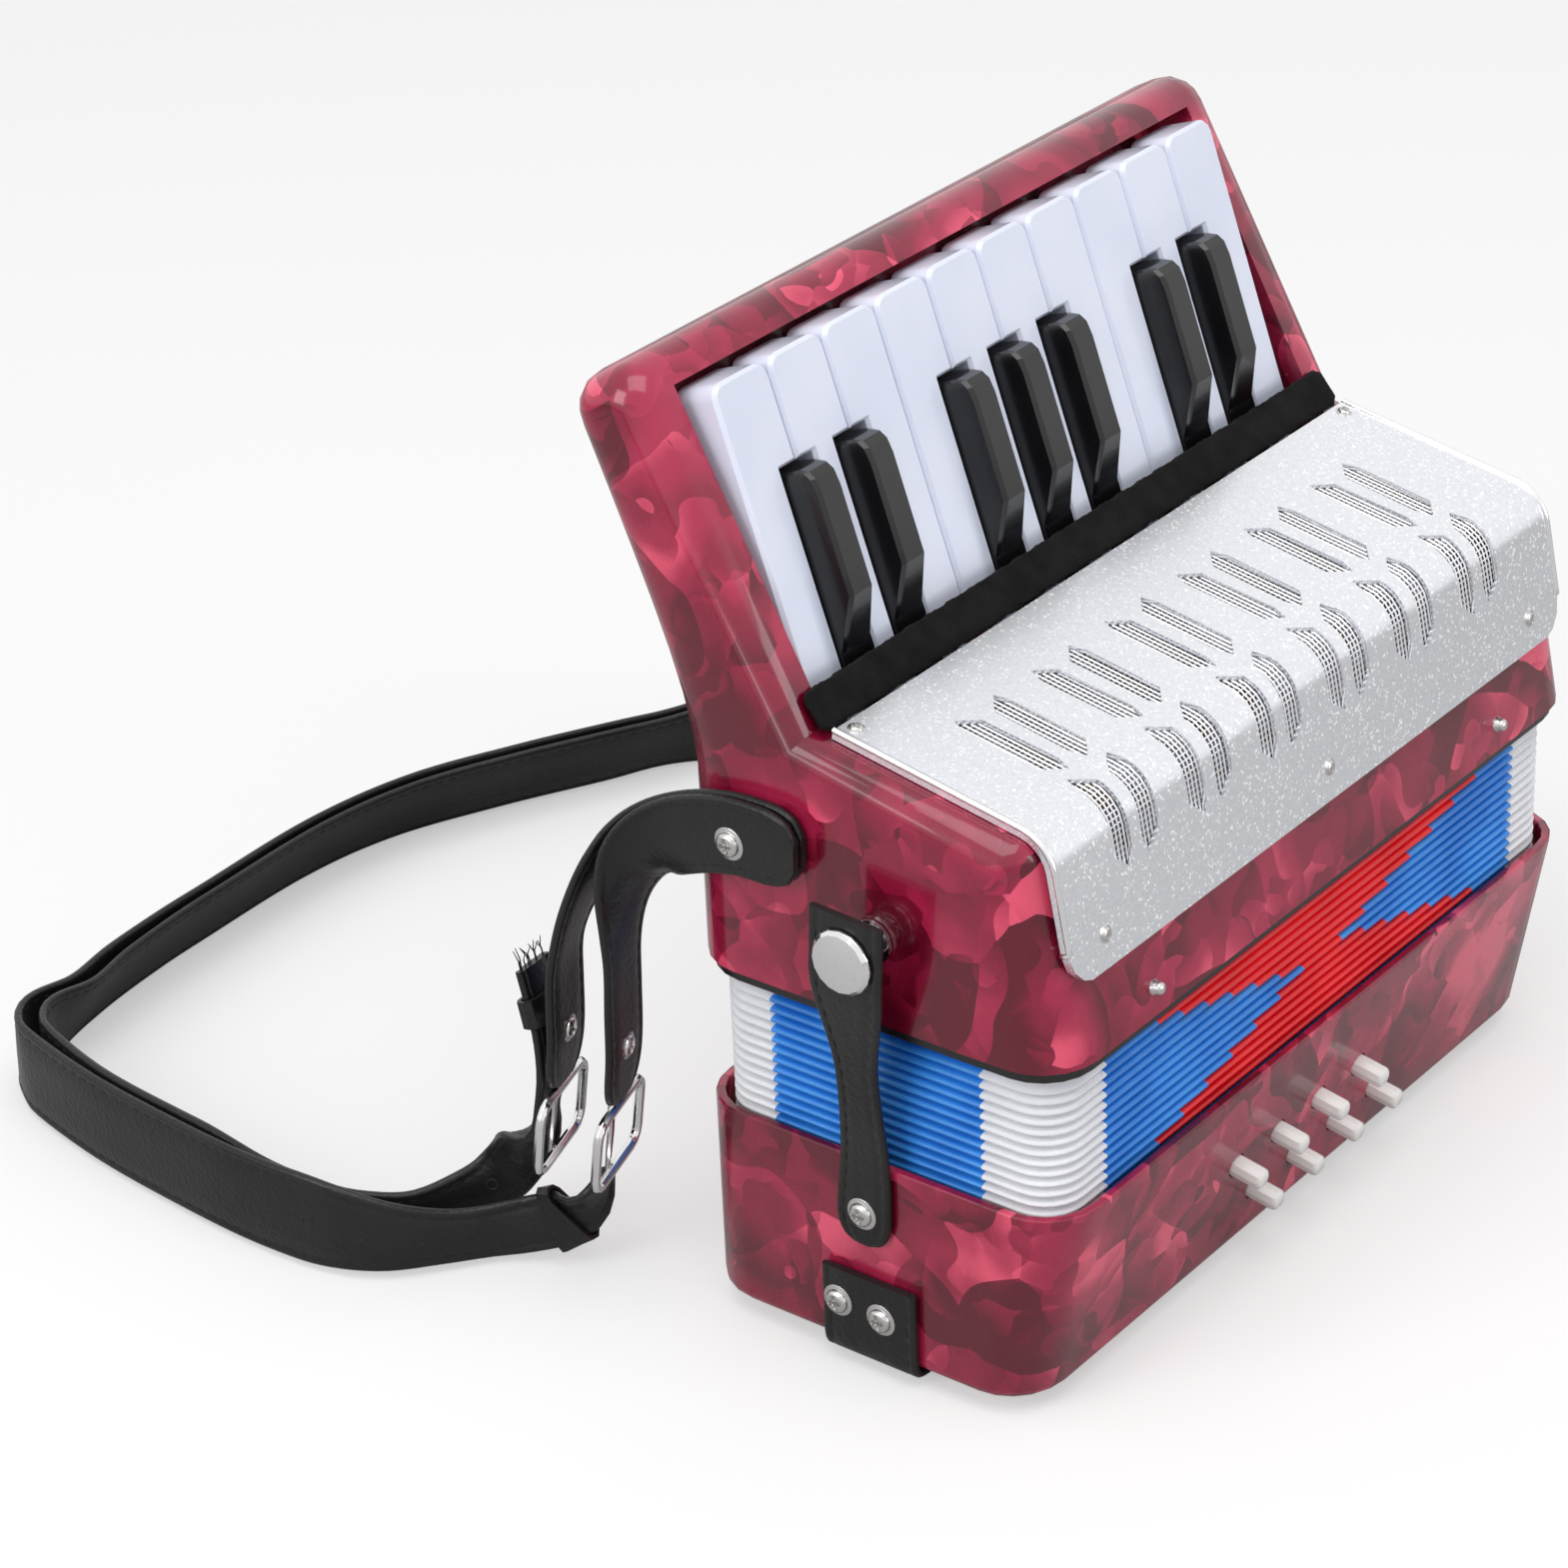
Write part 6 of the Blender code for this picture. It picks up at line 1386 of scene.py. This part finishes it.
def weld_and_shade():
    group = bpy.data.node_groups.new("WeldAndShade", "GeometryNodeTree")
    group.interface.new_socket("Geometry", in_out="INPUT", socket_type="NodeSocketGeometry")
    group.interface.new_socket("Angle", in_out="INPUT", socket_type="NodeSocketFloat")
    group.interface.new_socket("Geometry", in_out="OUTPUT", socket_type="NodeSocketGeometry")
    start = group.nodes.new("NodeGroupInput")
    end = group.nodes.new("NodeGroupOutput")
    merged = put(group, "GeometryNodeMergeByDistance", {"Geometry": start.outputs[0], "Distance": WELD})
    plain = put(group, "GeometryNodeRemoveAttribute", {"Geometry": merged.outputs[0], "Name": "custom_normal"})
    smooth = put(group, "GeometryNodeSetShadeSmooth", {"Geometry": plain.outputs[0], "Shade Smooth": True}, domain="FACE")
    angle = put(group, "GeometryNodeInputMeshEdgeAngle").outputs["Unsigned Angle"]
    sharp = put(group, "FunctionNodeCompare", {0: angle, 1: start.outputs["Angle"]}, operation="GREATER_THAN").outputs[0]
    edged = put(group, "GeometryNodeSetShadeSmooth", {"Geometry": smooth.outputs[0], "Selection": sharp,
                                                      "Shade Smooth": False}, domain="EDGE")
    group.links.new(edged.outputs[0], end.inputs[0])
    return group


NODE_FINISH = {"treble_case": PEARL, "bass_case": PEARL, "treble_grille": SILVER, "key_axle": STEEL,
               "bellows_frame_treble": PLASTIC, "bellows_frame_bass": WOOD, "feet": RUBBER}
START_FINISH = {"white_": IVORY, "black_": EBONY, "bass_button_guide": WOOD, "bass_button_": BUTTON_WHITE,
                "snap_": CHROME, "buckle_": CHROME, "treble_soundboard": WOOD, "bass_soundboard": WOOD,
                "treble_reed": WOOD, "bass_reed": WOOD}
BEVEL = {"white_": 0.0007, "black_": 0.0006, "bass_button_": 0.0005, "treble_case": 0.0006, "bass_case": 0.0006,
         "bellows_frame": 0.0004, "buckle_": 0.0003, "feet": 0.0005, "snap_cap": 0.0011, "treble_grille": 0.0002}


def dress_nodes():
    group = weld_and_shade()
    angle_input = group.interface.items_tree["Angle"].identifier
    done = 0
    for name, node in nodes.items():
        finish = NODE_FINISH.get(name)
        for start, option in START_FINISH.items():
            if finish is None and name.startswith(start):
                finish = option
        if finish is None:
            continue
        node.data.materials.clear()
        node.data.materials.append(finish)
        weld = node.modifiers.new("weld", "NODES")
        weld.node_group = group
        weld[angle_input] = math.radians(KEY_SHARP if name.startswith("black_") else SHARP)
        for start, width in BEVEL.items():
            if name.startswith(start):
                bevel = node.modifiers.new("edge", "BEVEL")
                bevel.width = width
                bevel.segments = 3 if name.startswith("snap_cap") else 2
                bevel.limit_method = "ANGLE"
                bevel.angle_limit = math.radians(38.0)
                bevel.harden_normals = True
                break
        done += 1
    return done


print("dressed", dress_nodes(), "of", len(nodes), "packed pieces")

# %% [markdown]
# ## Finishes on the new pieces
# Each new piece takes one finish, and the bellows takes three, in the order of its face numbers.
# The bellows then stretches between the bass and the treble body, which is set once its mesh is final.

# %% Finishes on the new pieces
PIECE_FINISH = {LEATHER: [tab_a, tab_b, long_a, long_b, hand_leather, left_leather, right_leather],
                THREAD: [tab_a_thread, tab_b_thread, long_a_thread, long_b_thread, hand_thread, left_thread,
                         right_thread, frayed],
                FELT: [strip_felt, rest_felt], WIRE: [wires], BRIGHT: [bead],
                STEEL: [tab_screws, hand_screws, cover_screws, lock_pins]}
for label in ("a", "b"):
    PIECE_FINISH[LEATHER].append(billet_pieces[label][1])
    PIECE_FINISH[THREAD].append(billet_pieces[label][0])
    PIECE_FINISH[STEEL].extend(tab_fittings[label])
for finish, pieces in PIECE_FINISH.items():
    for piece in pieces:
        piece.data.materials.append(finish)
for finish in (CLOTH_BLUE, CLOTH_RED, CLOTH_WHITE):
    bellows.data.materials.append(finish)
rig.blend(bellows, "bass", "treble", start=(0.0, 0.0, bellows_low), end=(0.0, 0.0, bellows_high))
print("finished pieces:", sum(len(p) for p in PIECE_FINISH.values()) + 1)

# %% [markdown]
# ## Floor, light and background
# The instrument stands on pale paper in even, soft light. Two large area lamps make the soft shapes
# in the gloss, and the world fills the shadows. The background is white only for rays that the camera,
# a reflection or glass sends out, so it lights nothing more than a plain grey room would.

# %% Floor, light and background
FLOOR_GLOW = 0.46


def make_floor():
    mesh = bpy.data.meshes.new("floor")
    wide = 6.0
    mesh.from_pydata([(-wide, -wide, 0), (wide, -wide, 0), (wide, wide, 0), (-wide, wide, 0)], [], [(0, 1, 2, 3)])
    floor = bpy.data.objects.new("floor", mesh)
    scene.collection.objects.link(floor)
    material = bpy.data.materials.new("paper")
    material.use_nodes = True
    tree = material.node_tree
    shader = tree.nodes["Principled BSDF"]
    shader.inputs["Base Color"].default_value = (0.50, 0.50, 0.50, 1.0)
    shader.inputs["Roughness"].default_value = 0.95
    shader.inputs["Specular IOR Level"].default_value = 0.1
    shader.inputs["Emission Color"].default_value = (1.0, 1.0, 1.0, 1.0)
    rays = put(tree, "ShaderNodeLightPath").outputs
    feed(tree, shader, "Emission Strength", calc(tree, "MULTIPLY", rays["Is Camera Ray"], FLOOR_GLOW))
    mesh.materials.append(material)
    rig.stage(floor)
    return floor


def make_lamp(name, place, target, size, power):
    data = bpy.data.lights.new(name, "AREA")
    data.shape = "RECTANGLE"
    data.size, data.size_y = size
    data.energy = power
    lamp = bpy.data.objects.new(name, data)
    lamp.location = place
    lamp.rotation_euler = (Vector(target) - Vector(place)).to_track_quat("-Z", "Y").to_euler()
    scene.collection.objects.link(lamp)
    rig.stage(lamp)
    return lamp


def make_world(level):
    world = bpy.data.worlds.new("studio")
    scene.world = world
    world.use_nodes = True
    tree = world.node_tree
    tree.nodes.clear()
    rays = put(tree, "ShaderNodeLightPath").outputs
    seen = calc(tree, "MAXIMUM", rays["Is Camera Ray"], rays["Is Transmission Ray"])
    seen = calc(tree, "MAXIMUM", seen, rays["Is Glossy Ray"])
    room = put(tree, "ShaderNodeBackground", {"Color": (1.0, 1.0, 1.0, 1.0), "Strength": level}).outputs[0]
    white = put(tree, "ShaderNodeBackground", {"Color": (1.0, 1.0, 1.0, 1.0), "Strength": 1.0}).outputs[0]
    mix = put(tree, "ShaderNodeMixShader", {0: seen, 1: room, 2: white}).outputs[0]
    put(tree, "ShaderNodeOutputWorld", {"Surface": mix})
    return world


AIM = (0.0, 0.0, 0.10)
make_floor()
make_lamp("key_light", (-0.5, -0.4, 2.2), AIM, (1.7, 1.7), 22.0)
make_lamp("side_light", (-1.5, 0.4, 0.9), AIM, (0.9, 0.9), 10.0)
make_lamp("front_light", (0.3, -1.7, 0.6), AIM, (0.9, 0.7), 7.0)
make_world(0.55)
scene.view_settings.view_transform = "Standard"
print("lamps:", len(bpy.data.lights))

# %% Size and finish
see_low, see_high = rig.bounds()
boxes = {"cad": [list(cad_low), list(cad_high)], "visual": [list(see_low), list(see_high)]}
with open("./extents.json", "w") as out:
    json.dump(boxes, out)
print("size:", [round(b - a, 4) for a, b in zip(see_low, see_high)])
